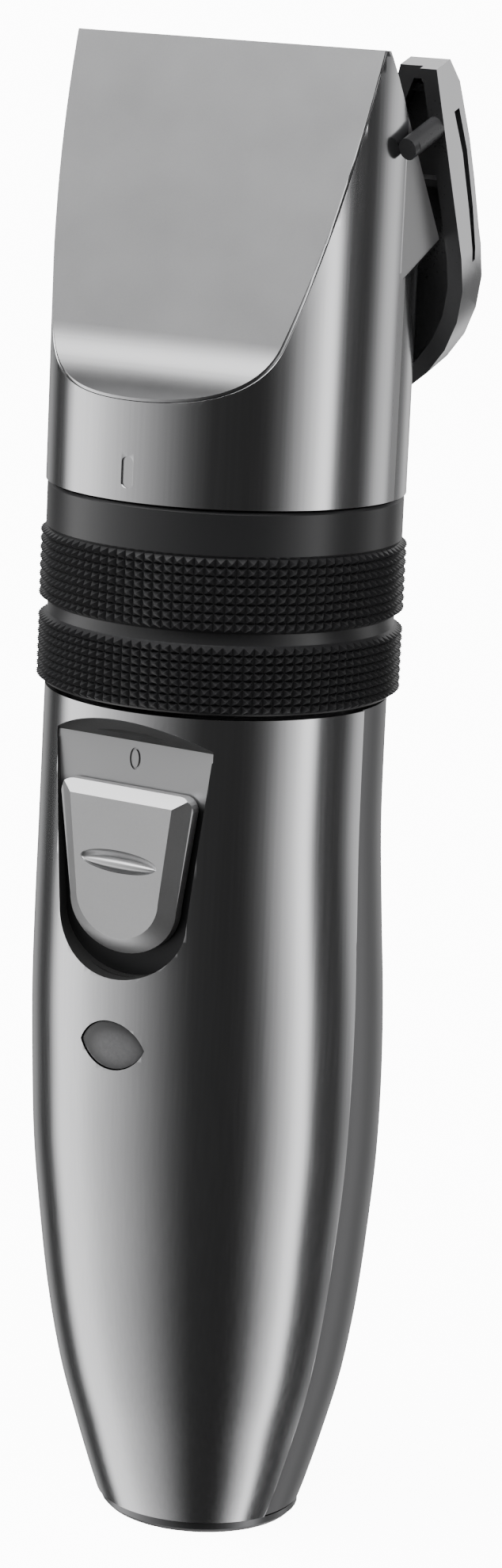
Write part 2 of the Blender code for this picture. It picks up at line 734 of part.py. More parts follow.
def make_motor():
    low = motor_bottom()
    can = rod("motor_can", MOTOR_R, low, MOTOR_TOP, steel(), steps=40)
    cut(can, rod("can_bore", BUSH_R + GAP, MOTOR_TOP - 4 * MM, MOTOR_TOP + MM, steel()))
    plate_low = MOTOR_TOP + GAP
    plate_high = plate_low + MOTOR_PLATE
    plate_r = NECK_INNER_R - GAP
    plate = tube("motor_plate", BUSH_R + GAP, plate_r, plate_low, plate_high, inner_plastic(), 48)
    hold = MOTOR_R - 3.4 * MM
    for index, side in enumerate((-1, 1), start=1):
        centre = (side * hold, 0)
        cut(plate, rod("plate_hole", SCREW_R + GAP, plate_low - MM, plate_high + MM, steel(), centre))
        cut(can, rod("can_hole", SCREW_R + GAP, MOTOR_TOP - 4 * MM, MOTOR_TOP + MM, steel(), centre))
        profile = [
            (0, MOTOR_TOP - 3.4 * MM),
            (SCREW_R, MOTOR_TOP - 3.4 * MM),
            (SCREW_R, plate_high + GAP),
            (SCREW_HEAD_R, plate_high + GAP),
            (SCREW_HEAD_R, plate_high + GAP + 1.3 * MM),
            (0, plate_high + GAP + 1.3 * MM),
        ]
        turned(f"motor_screw_{index}", profile, steel(), SMALL_STEPS, centre)
    bush_low, bush_high = MOTOR_TOP - 3.6 * MM, plate_high
    tube("shaft_bush", SHAFT_R + GAP, BUSH_R, bush_low, bush_high, brass(), SMALL_STEPS)
    shaft_high = ECCENTRIC_BOTTOM + 2 * MM
    rod("motor_shaft", SHAFT_R, MOTOR_TOP - 3.6 * MM, shaft_high, steel())
    disc = rod("eccentric_cam", ECCENTRIC_R, ECCENTRIC_BOTTOM, CRANK_BOTTOM, black_plastic(), steps=28)
    cut(disc, rod("shaft_seat", SHAFT_R + GAP, ECCENTRIC_BOTTOM - MM, shaft_high + GAP, steel()))
    throw = (0, -ECCENTRIC_THROW)
    join(disc, rod("crank_pin", CRANK_R, CRANK_BOTTOM - MM, CRANK_BOTTOM + CRANK_HEIGHT, steel(), throw))
    return disc


def brass():
    return material("brass", (0.6, 0.45, 0.2), 0.35, 1.0)


def make_yoke_guide():
    """The plate that the yoke slides on."""
    high = YOKE_BOTTOM - GAP
    outer = NECK_INNER_R - GAP
    return tube("yoke_guide", ECCENTRIC_R + 0.6 * MM, outer, high - YOKE_GUIDE, high, inner_plastic(), 40)


def yoke_window():
    """Half the yoke's window: it clears the crank's whole circle at either end of the yoke's stroke."""
    return ECCENTRIC_THROW + CRANK_R + YOKE_STROKE + GAP


def make_yoke():
    """A frame round the crank, with an arm that leans back and reaches out through the head's window."""
    half = yoke_window()
    outer = half + YOKE_RIM
    low, high = YOKE_BOTTOM, YOKE_BOTTOM + YOKE_THICKNESS
    yoke = box("drive_yoke", (-outer, -outer, low), (outer, outer, high), black_plastic())
    cut(yoke, box("yoke_window", (-half, -half, low - MM), (half, half, high + MM), black_plastic()))
    tip = Vector((0, rear_slope_y(YOKE_TIP_Z) + YOKE_TIP_OUT, YOKE_TIP_Z))
    base_y = outer - YOKE_RIM
    thick = 1.8 * MM
    arm = [
        (base_y, low),
        (outer, low),
        (outer, high + MM),
        (tip.y, tip.z - thick),
        (tip.y, tip.z),
        (tip.y - thick, tip.z),
        (base_y, high + 2 * MM),
    ]
    return join(yoke, prism("yoke_arm", arm, "X", -YOKE_ARM_HALF, YOKE_ARM_HALF, black_plastic()))


# ---------------------------------------------------------------- head


def rear_slope_y(height, outward=0.0):
    """The rear slope's y at this height, moved outwards along its normal."""
    return RIDGE_Y + (RIDGE_Z - height) * math.tan(REAR_SLOPE) + outward / math.cos(REAR_SLOPE)


def cover_y(height, inward=0.0):
    """The front cover's straight face at this height, moved towards the head."""
    top_y = RIDGE_Y - COVER_STAND_OFF
    return top_y - (RIDGE_Z - height) * math.tan(FRONT_SLOPE) + inward / math.cos(FRONT_SLOPE)


def scoop_profile(inward, steps=10):
    """(y, z) points down the cover's scoop: a concave arc from the straight face to the barrel's front."""
    radius = SCOOP_R + inward
    end_turn = math.radians(84)
    centre_z = HEAD_BOTTOM + SCOOP_BOTTOM + SCOOP_R
    centre_y = cover_y(centre_z) - SCOOP_R / math.cos(FRONT_SLOPE)
    points = []
    for index in range(steps + 1):
        angle = FRONT_SLOPE + (end_turn - FRONT_SLOPE) * index / steps
        points.append((centre_y + radius * math.cos(angle), centre_z - radius * math.sin(angle)))
    return points


def front_face_profile(inward):
    """The (y, z) line from above the ridge down the face, round the scoop and out past the barrel."""
    arc = scoop_profile(inward)
    top = RIDGE_Z + 4 * MM
    last = arc[-1]
    return [(cover_y(top, inward), top)] + arc + [(last[0] - BARREL_R, last[1] - 0.8 * MM)]


def head_block(name, inset, look):
    """The head's plan form: a barrel with flat-sided cheeks behind it, before the two slopes cut it."""
    low = HEAD_BOTTOM if inset == 0 else HEAD_BOTTOM - MM
    block = rod(name, BARREL_R - inset, low, RIDGE_Z + MM, look, steps=ROUND_STEPS)
    side = HEAD_SIDE_X - inset
    corner_z = RIDGE_Z - CHEEK_DROP + inset
    far_y = rear_slope_y(corner_z) + 4 * MM
    cheek = [
        (0, corner_z - CHEEK_RISE),
        (rear_slope_y(corner_z), corner_z),
        (far_y, corner_z + 1.6 * MM),
        (far_y, RIDGE_Z + 0.9 * MM),
        (0, RIDGE_Z + 0.9 * MM),
    ]
    return join(block, prism(name + "_cheeks", cheek, "X", -side, side, look))


def make_head():
    """The hollow head: its ridge is where the cover's seat and the rear slope meet."""
    look = satin_metal()
    seat = COVER_THICKNESS + GAP
    reach = 2 * BARREL_R
    head = head_block("head_shell", 0.0, look)
    keep_inside(head, prism("head_wedge", wedge_outline(seat, 0.0), "X", -reach, reach, look))
    hollow = head_block("head_hollow", HEAD_WALL, look)
    inner = wedge_outline(seat + HEAD_WALL, -HEAD_WALL)
    keep_inside(hollow, prism("hollow_wedge", inner, "X", -reach, reach, look))
    cut(head, hollow)
    half = WINDOW_HALF_WIDTH
    low = unit_pivot().z - LUG_R - MM
    high = RIDGE_Z - WINDOW_DROP
    cut(head, box("head_window", (-half, -WINDOW_DEPTH, low), (half, 2 * BARREL_R, high), look))
    pivot = unit_pivot()
    for side in (-1, 1):
        inner_x, outer_x = side * (half - 0.9 * MM), side * (half + 2.7 * MM)
        boss = rod("pin_boss", PIN_R + PIN_BOSS_WALL, min(inner_x, outer_x), max(inner_x, outer_x), look)
        join(head, along_x(boss, pivot.y, pivot.z))
    cut(head, along_x(rod("pin_bore", PIN_R + GAP, -PIN_HALF - GAP, PIN_HALF + GAP, look), pivot.y, pivot.z))
    return head


def wedge_outline(inward, outward):
    """The head's side view as (y, z): front face, bottom and rear slope, meeting at the ridge."""
    front = front_face_profile(inward)[1:]
    low = HEAD_BOTTOM - 3 * MM
    ridge_z = meeting_height(inward, outward)
    outline = [(rear_slope_y(ridge_z, outward), ridge_z)] + front
    outline += [(front[-1][0], low), (rear_slope_y(low, outward), low)]
    return outline


def meeting_height(inward, outward):
    """The height where the front face and the rear slope, each moved, cross."""
    front_at_ridge = cover_y(RIDGE_Z, inward)
    rear_at_ridge = rear_slope_y(RIDGE_Z, outward)
    closing = math.tan(FRONT_SLOPE) + math.tan(REAR_SLOPE)
    return RIDGE_Z - (front_at_ridge - rear_at_ridge) / closing


def make_front_cover():
    """The cover: a plate along the front slope and scoop, trimmed to the barrel's outline."""
    look = cover_grey()
    outer = front_face_profile(0.0)[1:-1]
    inner = front_face_profile(COVER_THICKNESS)[1:-1]
    ridge_z = RIDGE_Z - 0.2 * MM
    top_edge = [(cover_y(ridge_z, COVER_THICKNESS), ridge_z), (cover_y(ridge_z), ridge_z)]
    outline = outer + inner[::-1] + top_edge
    cover = prism("front_cover", outline, "X", -BARREL_R, BARREL_R, look)
    limit = rod("cover_limit", BARREL_R - 0.05 * MM, HEAD_BOTTOM, RIDGE_Z + MM, look, steps=ROUND_STEPS)
    return keep_inside(cover, limit)


# ---------------------------------------------------------------- rear blade unit


def unit_matrix():
    origin = Matrix.Translation((0, UNIT_ORIGIN_Y, RIDGE_Z - UNIT_ORIGIN_DROP))
    return origin @ Matrix.Rotation(UNIT_TILT, 4, "X")


def unit_point(x, y, z):
    return unit_matrix() @ Vector((x, y, z))


def unit_pivot():
    return unit_point(0, -PIVOT_SET_IN, -PIVOT_DROP)


def shield_outline(inset, steps=16):
    """The unit's lower outline in its own frame, as (x, z): straight sides and an elliptical end."""
    half = UNIT_HALF_WIDTH - inset
    drop = UNIT_ROUND - inset
    lower = [
        (half * math.cos(math.pi * i / steps), -UNIT_STRAIGHT - drop * math.sin(math.pi * i / steps))
        for i in range(steps + 1)
    ]
    return lower


def make_blade_housing():
    """A boat-shaped carrier, open towards the head, with two horns and a lower middle at its top."""
    look = satin_metal()
    horn_x = UNIT_HALF_WIDTH - HORN_WIDTH
    notch_x = horn_x - 2.0 * MM
    right = [(notch_x, -UNIT_MIDDLE_DROP), (horn_x, HORN_HEIGHT), (UNIT_HALF_WIDTH, HORN_HEIGHT)]
    outline = shield_outline(0.0) + [(-x, z) for x, z in reversed(right)] + right
    housing = prism("blade_housing", outline, "Y", 0.0, 2 * UNIT_DEPTH, look)
    tail = -UNIT_STRAIGHT - UNIT_ROUND
    side_view = [
        (-MM, HORN_HEIGHT + MM),
        (0.60 * UNIT_DEPTH, HORN_HEIGHT + 0.2 * MM),
        (0.90 * UNIT_DEPTH, -1.7 * MM),
        (UNIT_DEPTH, -9.0 * MM),
        (0.98 * UNIT_DEPTH, -14.0 * MM),
        (0.90 * UNIT_DEPTH, -20.0 * MM),
        (0.90 * UNIT_DEPTH, -30.0 * MM),
        (0.97 * UNIT_DEPTH, tail + 6.0 * MM),
        (0.80 * UNIT_DEPTH, tail + 2.0 * MM),
        (UNIT_TAIL_DEPTH, tail - MM),
        (-MM, tail - MM),
    ]
    width = UNIT_HALF_WIDTH + MM
    keep_inside(housing, prism("unit_side_view", side_view, "X", -width, width, look))
    rim_x = UNIT_HALF_WIDTH - UNIT_RIM
    edge = 1.6 * MM
    pocket_top = HORN_HEIGHT - edge
    right = [(notch_x, -UNIT_MIDDLE_DROP - 2 * edge), (horn_x + edge, pocket_top), (rim_x, pocket_top)]
    pocket = shield_outline(UNIT_RIM) + [(-x, z) for x, z in reversed(right)] + right
    cut(housing, prism("unit_pocket", pocket, "Y", -MM, UNIT_POCKET, look))
    gate_x = BLADE_HALF_WIDTH + RUN_GAP
    cut(housing, box("blade_gate", (-gate_x, -MM, -12 * MM), (gate_x, UNIT_POCKET, 5 * MM), look))
    side_x = HEAD_SIDE_X + RUN_GAP + GAP
    cut(housing, box("closing_relief", (-side_x, -MM, -8 * MM), (side_x, 0.8 * MM, 5 * MM), look))
    for side in (-1, 1):
        points = [(share * UNIT_DEPTH, -drop * MM) for share, drop in SIDE_SLOT]
        slot_x = side * UNIT_HALF_WIDTH
        cut(housing, prism("side_slot", points, "X", slot_x - 0.8 * MM, slot_x + 0.8 * MM, look))
        peg_x = side * (UNIT_HALF_WIDTH - PEG_R)
        peg = rod("snap_peg", PEG_R, -PEG_LENGTH, MM, look, steps=16)
        join(housing, facing_y(peg, peg_x, -PEG_DROP))
        lug_low, lug_high = side * LUG_X - LUG_WIDTH / 2, side * LUG_X + LUG_WIDTH / 2
        lug = rod("hinge_lug", LUG_R, lug_low, lug_high, look)
        along_x(lug, -PIVOT_SET_IN, -PIVOT_DROP)
        arm_low = (lug_low, -PIVOT_SET_IN, -PIVOT_DROP - LUG_R)
        arm_high = (lug_high, UNIT_POCKET + 0.5 * MM, -PIVOT_DROP + LUG_R)
        join(housing, lug)
        join(housing, box("lug_arm", arm_low, arm_high, look))
    for drop in RIB_DROPS:
        rib_front, rib_back = UNIT_POCKET - RIB_HEIGHT, UNIT_POCKET + 0.5 * MM
        for side in (-1, 1):
            ends = sorted((side * (rim_x + 0.5 * MM), side * (BLADE_HALF_WIDTH + 1.6 * MM)))
            low, high = -drop - RIB_WIDTH / 2, -drop + RIB_WIDTH / 2
            join(housing, box("rib", (ends[0], rib_front, low), (ends[1], rib_back, high), look))
    bore = rod("hinge_bore", PIN_R + GAP, -UNIT_HALF_WIDTH, UNIT_HALF_WIDTH, look)
    cut(housing, along_x(bore, -PIVOT_SET_IN, -PIVOT_DROP))
    for side in (-1, 1):
        hole = rod("screw_seat", SCREW_R + GAP, 0, UNIT_DEPTH * 2, look)
        cut(housing, facing_y(hole, side * SCREW_X, -SCREW_DROP))
    for helper in [step.object for step in housing.modifiers]:
        helper.data.transform(unit_matrix())
    housing.data.transform(unit_matrix())
    # The tail's inner side follows the head, where it rests when the unit is open.
    relief = rod("tail_relief", BARREL_R + TAIL_CLEAR, 0, HEAD_BOTTOM + 26 * MM, look, steps=ROUND_STEPS)
    reach = 2 * BARREL_R
    limit = prism("tail_relief_limit", wedge_outline(0.0, TAIL_CLEAR), "X", -reach, reach, look)
    cut(housing, keep_inside(relief, limit))
    return housing


def blade_plate(name, half, front, tip, length, look):
    """A blade with square teeth along its top edge, in the unit's frame. front is its y nearest the head."""
    count = int(2 * half / TOOTH_PITCH)
    pitch = 2 * half / (count + 0.5)
    root = tip - TOOTH_LENGTH
    outline = [(-half, tip - length), (half, tip - length)]
    for index in range(count + 1):
        right = half - index * pitch
        left = right - pitch / 2
        outline += [(right, root), (right - 0.15 * MM, tip), (left + 0.15 * MM, tip), (left, root)]
    return prism(name, outline, "Y", front, front + BLADE_THICKNESS, look)


def make_blades():
    comb_front = UNIT_POCKET - GAP - BLADE_THICKNESS
    comb = blade_plate("comb_blade", BLADE_HALF_WIDTH, comb_front, COMB_TIP, BLADE_LENGTH, steel())
    for side in (-1, 1):
        hole = rod("comb_hole", SCREW_R + GAP, -UNIT_DEPTH, UNIT_DEPTH * 2, steel())
        cut(comb, facing_y(hole, side * SCREW_X, -SCREW_DROP))
    cutter_front = comb_front - GAP - BLADE_THICKNESS
    ceramic = material("ceramic_white", (0.85, 0.85, 0.83), 0.35)
    cutter_tip = COMB_TIP - CUTTER_SET_BACK
    half = CUTTER_HALF_WIDTH
    cutter = blade_plate("moving_blade", half, cutter_front, cutter_tip, CUTTER_LENGTH, ceramic)
    return comb, cutter, cutter_front


def make_unit_parts():
    housing = make_blade_housing()
    comb, cutter, cutter_front = make_blades()
    low = COMB_TIP - CUTTER_SET_BACK - CUTTER_LENGTH
    fork = YOKE_ARM_HALF + GAP + FORK_PLAY
    half = fork + 1.6 * MM
    carrier = box(
        "cutter_carrier",
        (-half, cutter_front - GAP - 1.2 * MM, low + 0.5 * MM),
        (half, cutter_front - GAP, low + 4.0 * MM),
        black_plastic(),
    )
    fork_low, fork_high = (-fork, -10 * MM, low - MM), (fork, 10 * MM, low + 2.6 * MM)
    cut(carrier, box("carrier_fork", fork_low, fork_high, black_plastic()))
    guide_low = low + 4.4 * MM
    guide = box(
        "cutter_guide",
        (-11 * MM, cutter_front - GAP - BLADE_THICKNESS, guide_low),
        (11 * MM, cutter_front - GAP, guide_low + 1.8 * MM),
        steel(),
    )
    screws = []
    for index, side in enumerate((-1, 1), start=1):
        head_low = UNIT_POCKET - 2 * GAP - BLADE_THICKNESS
        profile = [
            (0, head_low - 1.0 * MM),
            (SCREW_HEAD_R, head_low - 1.0 * MM),
            (SCREW_HEAD_R, head_low),
            (SCREW_R, head_low),
            (SCREW_R, UNIT_DEPTH - 1.2 * MM),
            (0, UNIT_DEPTH - 1.2 * MM),
        ]
        screw = turned(f"blade_screw_{index}", profile, steel(), SMALL_STEPS)
        screws.append(facing_y(screw, side * SCREW_X, -SCREW_DROP))
    for piece in [comb, cutter, carrier, guide] + screws:
        for helper in [step.object for step in piece.modifiers]:
            helper.data.transform(unit_matrix())
        piece.data.transform(unit_matrix())
    return [housing, comb] + screws, [guide], [cutter, carrier]


def hub_at(name, place):
    hub = bpy.data.objects.new(name, None)
    hub.location = place
    hub.empty_display_size = 5 * MM
    bpy.context.scene.collection.objects.link(hub)
    return hub


def hang(pieces, hub):
    """Parents pieces drawn in world space to a hub, with their origins on it."""
    for piece in pieces:
        piece.data.transform(Matrix.Translation(-hub.location))
        for step in piece.modifiers:
            if step.type == "BOOLEAN":
                shift_helpers(step.object, hub)
        piece.parent = hub


def shift_helpers(helper, hub):
    helper.data.transform(Matrix.Translation(-hub.location))
    helper.parent = hub
    for step in helper.modifiers:
        if step.type == "BOOLEAN":
            shift_helpers(step.object, hub)


def make_shell_screws():
    for index, height in enumerate(SHELL_SCREW_HEIGHTS, start=1):
        radius, middle = body_section(height)
        back = middle + radius - REAR_STEP
        profile = [
            (0, 0),
            (SCREW_HEAD_R, 0),
            (SCREW_HEAD_R, 1.5 * MM),
            (SCREW_R, 1.5 * MM),
            (SCREW_R, 4.0 * MM),
            (0, 4.0 * MM),
        ]
        screw = turned(f"shell_screw_{index}", profile, steel(), SMALL_STEPS)
        place = Matrix.Translation((0, back - 0.5 * MM, height)) @ Matrix.Rotation(math.pi / 2, 4, "X")
        turn_to(screw, place)


def build():
    clear_scene()
    make_shells()
    make_lens()
    make_bottom_cap()
    make_charging_socket()
    make_chassis()
    make_electronics()
    make_shell_screws()
    make_switch()
    make_neck()
    make_dial()
    make_motor()
    make_yoke_guide()
    make_yoke()
    make_head()
    make_front_cover()
    pivot = unit_pivot()
    along_x(rod("hinge_pin", PIN_R, -PIN_HALF, PIN_HALF, steel(), steps=16), pivot.y, pivot.z)
    unit_hub = hub_at("unit_hinge", pivot)
    unit_pieces, guide_pieces, cutter_pieces = make_unit_parts()
    hang(unit_pieces, unit_hub)
    hang(guide_pieces, hub_at("cutter_height", pivot))
    hang(cutter_pieces, hub_at("cutter_stroke", pivot))


build()
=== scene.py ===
"""Looks of a cordless hair clipper: satin gunmetal handle and head, knurled black dial, sliding switch.

Lengths are in metres in the part's own frame: the dial's axis is +Z, the switch faces -Y.
"""

import math

import bmesh
import bpy
from mathutils import Matrix, Vector


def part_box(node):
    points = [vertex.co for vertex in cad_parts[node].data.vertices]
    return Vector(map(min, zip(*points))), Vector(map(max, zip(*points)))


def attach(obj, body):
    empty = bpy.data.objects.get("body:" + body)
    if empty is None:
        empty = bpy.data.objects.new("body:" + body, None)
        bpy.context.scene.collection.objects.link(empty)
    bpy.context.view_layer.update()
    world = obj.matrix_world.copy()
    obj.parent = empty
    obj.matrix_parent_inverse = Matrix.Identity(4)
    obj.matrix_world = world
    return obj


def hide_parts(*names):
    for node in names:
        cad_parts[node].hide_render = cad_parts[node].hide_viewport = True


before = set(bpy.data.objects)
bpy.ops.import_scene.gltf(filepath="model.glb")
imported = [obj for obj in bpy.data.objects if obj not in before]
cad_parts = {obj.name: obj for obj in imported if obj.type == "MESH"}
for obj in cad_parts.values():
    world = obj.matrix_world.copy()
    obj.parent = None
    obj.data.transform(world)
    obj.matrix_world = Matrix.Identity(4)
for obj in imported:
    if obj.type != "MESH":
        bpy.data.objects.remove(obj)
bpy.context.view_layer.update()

MM = 0.001

# Heights and radii shared by the pieces, all read from the frame where a node gives them
BODY_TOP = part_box("dial_ring")[0].z
HEAD_BOTTOM = 129.5 * MM
BARREL_R = 21.5 * MM
GAP = 0.3 * MM  # between pieces that touch
SEAM_Y = -0.3 * MM
REAR_STEP = 0.4 * MM
WALL = 1.8 * MM
FRONT_SLOPE = math.radians(18.1)
REAR_SLOPE = math.radians(30.9)
HOLDER_TILT = math.radians(20.3)
RIDGE_Y = -2.75 * MM
COVER_TOP_Y = -3.55 * MM
COVER_EDGE = 0.3 * MM  # what shows of the cover's thickness at its edge
COVER_SEAM = 0.07 * MM  # between the cover and the head behind it
FULL_RIDGE_Z = 182.0 * MM


# ---------------------------------------------------------------- camera


def place_camera():
    """Front right and a little above, through a long lens."""
    right = Vector((0.844665, 0.53348, 0.044047))
    up = Vector((-0.149337, 0.155826, 0.976431))
    back = Vector((0.514043, -0.831335, 0.211289))
    made = bpy.data.cameras.new("view")
    made.sensor_fit = "VERTICAL"
    made.sensor_height = 36.0
    made.sensor_width = 36.0
    made.lens = 100.05
    made.clip_start = 0.01
    camera = bpy.data.objects.new("view", made)
    bpy.context.scene.collection.objects.link(camera)
    turn = Matrix((right, up, back)).transposed().to_4x4()
    camera.matrix_world = Matrix.Translation((0.27485, -0.435823, 0.204345)) @ turn
    bpy.context.scene.camera = camera


# ---------------------------------------------------------------- finishes


class Value:
    """A number in a shader. Arithmetic on it adds Math nodes to its finish."""

    def __init__(self, finish, socket):
        self.finish = finish
        self.socket = socket

    def worked(self, operation, *values):
        return Value(self.finish, self.finish.add("Math", {"operation": operation}, values).outputs[0])

    def __add__(self, other):
        return self.worked("ADD", self, other)

    __radd__ = __add__

    def __mul__(self, other):
        return self.worked("MULTIPLY", self, other)

    __rmul__ = __mul__

    def __sub__(self, other):
        return self.worked("SUBTRACT", self, other)

    def __rsub__(self, other):
        return self.worked("SUBTRACT", other, self)


class Finish:
    """A procedural material built round one Principled shader."""

    def __init__(self, name, colour, roughness, metallic=0.0, **constants):
        self.material = bpy.data.materials.new(name)
        self.material.use_nodes = True
        self.tree = self.material.node_tree
        self.shader = self.tree.nodes["Principled BSDF"]
        self.shader.inputs["Base Color"].default_value = (*colour, 1.0)
        self.shader.inputs["Roughness"].default_value = roughness
        self.shader.inputs["Metallic"].default_value = metallic
        for socket, value in constants.items():
            self.shader.inputs[socket.replace("_", " ")].default_value = value
        self.place = self.add("TexCoord").outputs["Object"]
        parts = self.add("SeparateXYZ", {}, {"Vector": self.place})
        self.x, self.y, self.z = (Value(self, socket) for socket in parts.outputs)

    def add(self, kind, settings=None, values=()):
        """A node of this kind, its settings made first, then its sockets set or linked."""
        node = self.tree.nodes.new("ShaderNode" + kind)
        for setting, value in (settings or {}).items():
            if setting == "stops":
                for stop, (place, shade) in zip(self.stops(node, len(value)), value):
                    stop.position = place
                    stop.color = (*shade, 1.0)
            else:
                setattr(node, setting, value)
        pairs = values.items() if isinstance(values, dict) else enumerate(values)
        for key, value in pairs:
            self.feed(node.inputs[key], value)
        return node

    def stops(self, node, count):
        elements = node.color_ramp.elements
        while len(elements) < count:
            elements.new(1.0)
        return elements

    def feed(self, socket, value):
        if isinstance(value, Value):
            value = value.socket
        if isinstance(value, bpy.types.NodeSocket):
            self.tree.links.new(value, socket)
        else:
            socket.default_value = value

    def stretched(self, across, along):
        """Object coordinates scaled for a grain: across in x and y, along in z, both per metre."""
        values = {"Vector": self.place, "Scale": (across, across, along)}
        return self.add("Mapping", {}, values).outputs["Vector"]

    def noise(self, scale, detail=3.0, place=None, roughness=0.5):
        values = {"Vector": place or self.place, "Scale": scale, "Detail": detail, "Roughness": roughness}
        return Value(self, self.add("TexNoise", {}, values).outputs["Fac"])

    def blended(self, mask, low, high):
        """Two colours mixed by a mask."""
        node = self.add("Mix", {"data_type": "RGBA"}, [mask])
        first, second = (socket for socket in node.inputs if socket.type == "RGBA")
        self.feed(first, (*low, 1.0))
        self.feed(second, (*high, 1.0))
        return next(socket for socket in node.outputs if socket.type == "RGBA")

    def bumped(self, height, distance, strength=1.0):
        values = {"Height": height, "Distance": distance, "Strength": strength}
        self.feed(self.shader.inputs["Normal"], self.add("Bump", {}, values).outputs["Normal"])

    def set(self, socket, value):
        self.feed(self.shader.inputs[socket], value)


def brushed(name, colour, roughness, streak=0.06, depth=0.6e-6, metallic=1.0):
    """Satin metal with fine streaks along the handle's length."""
    made = Finish(name, colour, roughness, metallic)
    lines = made.noise(1.0, 2.0, made.stretched(2600, 45))
    broad = made.noise(1.0, 2.0, made.stretched(90, 12))
    made.set("Roughness", lines * streak + broad * 0.05 + (roughness - streak / 2 - 0.025))
    darker = tuple(c * 0.9 for c in colour)
    made.set("Base Color", made.blended(lines, darker, colour))
    made.bumped(lines, depth)
    return made.material


def grained(name, colour, roughness, metallic=0.0, scale=4200, depth=2.5e-6, spread=0.1, **constants):
    """A finely grained surface, as on moulded plastic or a bead-blasted coat."""
    made = Finish(name, colour, roughness, metallic, **constants)
    fine = made.noise(scale, 2.0)
    broad = made.noise(scale / 40, 3.0)
    made.set("Roughness", fine * spread + broad * spread + (roughness - spread))
    low, high = (tuple(c * share for c in colour) for share in (0.86, 1.1))
    made.set("Base Color", made.blended(broad * 0.6 + fine * 0.4, low, high))
    made.bumped(fine, depth)
    return made.material


def ground_steel(name, colour, roughness):
    """Blade steel, ground straight across."""
    made = Finish(name, colour, roughness, 1.0)
    grinding = made.add("Mapping", {}, {"Vector": made.place, "Scale": (60, 3000, 3000)})
    lines = made.noise(1.0, 2.0, grinding.outputs["Vector"])
    made.set("Roughness", lines * 0.2 + (roughness - 0.1))
    made.bumped(lines, 1.5e-6)
    return made.material


def frosted(name, rim, middle):
    """The charge light's lens: grainy, darker towards its rim and paler towards a middle a little right of
    its centre.
    """
    made = Finish(name, middle, 0.42, 0.0, Coat_Weight=0.1)
    fine = made.noise(2600, 2.0)
    across = (made.x - 0.6 * MM) * (1 / (3.6 * MM))
    up = (made.z - 64.0 * MM) * (1 / (2.4 * MM))
    spread = across * across + up * up
    settings = {"interpolation_type": "SMOOTHSTEP"}
    limits = {"Value": spread, "From Min": 1.3, "From Max": 0.0}
    middle_share = Value(made, made.add("MapRange", settings, limits).outputs["Result"])
    made.set("Base Color", made.blended(middle_share * (fine * 0.6 + 0.6), rim, middle))
    made.set("Roughness", fine * 0.15 + 0.36)
    made.bumped(fine, 12e-6)
    return made.material


def recess_floor(name, own_grey, painted_shade):
    """The floor behind the switch: its own grey at its top, with painted shade below, where the button slides
    over it.
    """
    made = Finish(name, own_grey, 0.4, 0.9)
    fine = made.noise(3600, 2.0)
    settings = {"interpolation_type": "SMOOTHSTEP"}
    limits = {"Value": made.z, "From Min": 93.6 * MM, "From Max": 95.6 * MM}
    # Painted shade: dark below the button's top edge, fading to the floor's grey above it
    above_shade = Value(made, made.add("MapRange", settings, limits).outputs["Result"])
    made.set("Base Color", made.blended(above_shade * (fine * 0.1 + 0.95), painted_shade, own_grey))
    made.set("Roughness", fine * 0.08 + 0.36)
    made.bumped(fine, 1.6e-6)
    return made.material


def make_finishes():
    return {
        # name, base colour, roughness, then metallic, grain per metre, bump depth and spread of the roughness
        "satin": brushed("satin_gunmetal", (0.6, 0.6, 0.61), 0.17),
        "dark": brushed("dark_gunmetal", (0.2, 0.2, 0.204), 0.36),
        "cover": grained("blasted_grey", (0.34, 0.34, 0.345), 0.32, 0.95, 5200, 1.6e-6, 0.06),
        "button": grained("button_grey", (0.5, 0.5, 0.505), 0.34, 0.9, 3600, 1.6e-6, 0.08),
        "black": grained("satin_black", (0.02, 0.02, 0.021), 0.32, 0.0, 3200, 1.2e-6, 0.08),
        # recess floor: its second colour is painted shade below the button's top
        "floor": recess_floor("recess_grey", (0.4, 0.4, 0.405), (0.03, 0.03, 0.031)),
        # near-black painted shadow on the switch recess walls
        "shadow": grained("recess_painted_shadow", (0.015, 0.015, 0.015), 0.5, 0.0, 3600, 1.6e-6, 0.08),
        # near-black: painted shade inside the blade holder's tray, tail and side slot; the pegs share it
        "tray": grained("tray_black_and_shade", (0.06, 0.06, 0.062), 0.3, 0.2, 3200, 1.6e-6, 0.1),
        # pale grey painted light on the blade holder's top face
        "bright": grained("top_painted_light", (0.85, 0.85, 0.86), 0.5, 0.7, 4200, 1.6e-6, 0.06),
        "blasted": grained("blasted_gunmetal", (0.46, 0.46, 0.465), 0.46, 0.95, 4200, 1.6e-6, 0.06),
        "frosted": frosted("frosted_grey", (0.035, 0.035, 0.036), (0.13, 0.13, 0.133)),
        "inner": grained("inner_grey", (0.1, 0.1, 0.105), 0.6, 0.0, 2200, 3.0e-6, 0.1),
        "steel": ground_steel("ground_steel", (0.55, 0.55, 0.57), 0.3),
        "brass": grained("turned_brass", (0.6, 0.42, 0.16), 0.3, 1.0, 2600, 1.0e-6, 0.1),
        "ceramic": grained("white_ceramic", (0.82, 0.82, 0.8), 0.25, 0.0, 1800, 0.6e-6, 0.08),
        "wrap": grained("shrink_wrap", (0.03, 0.08, 0.26), 0.3, 0.0, 600, 4.0e-6, 0.08),
        "board": grained("solder_mask", (0.02, 0.13, 0.05), 0.4, 0.0, 1500, 2.0e-6, 0.1),
        "clear": grained("clear_moulding", (0.8, 0.8, 0.8), 0.2, 0.0, 900, 1.0e-6, 0.06),
        "led": grained("led_resin", (0.8, 0.8, 0.74), 0.3, 0.0, 900, 1.0e-6, 0.06),
    }


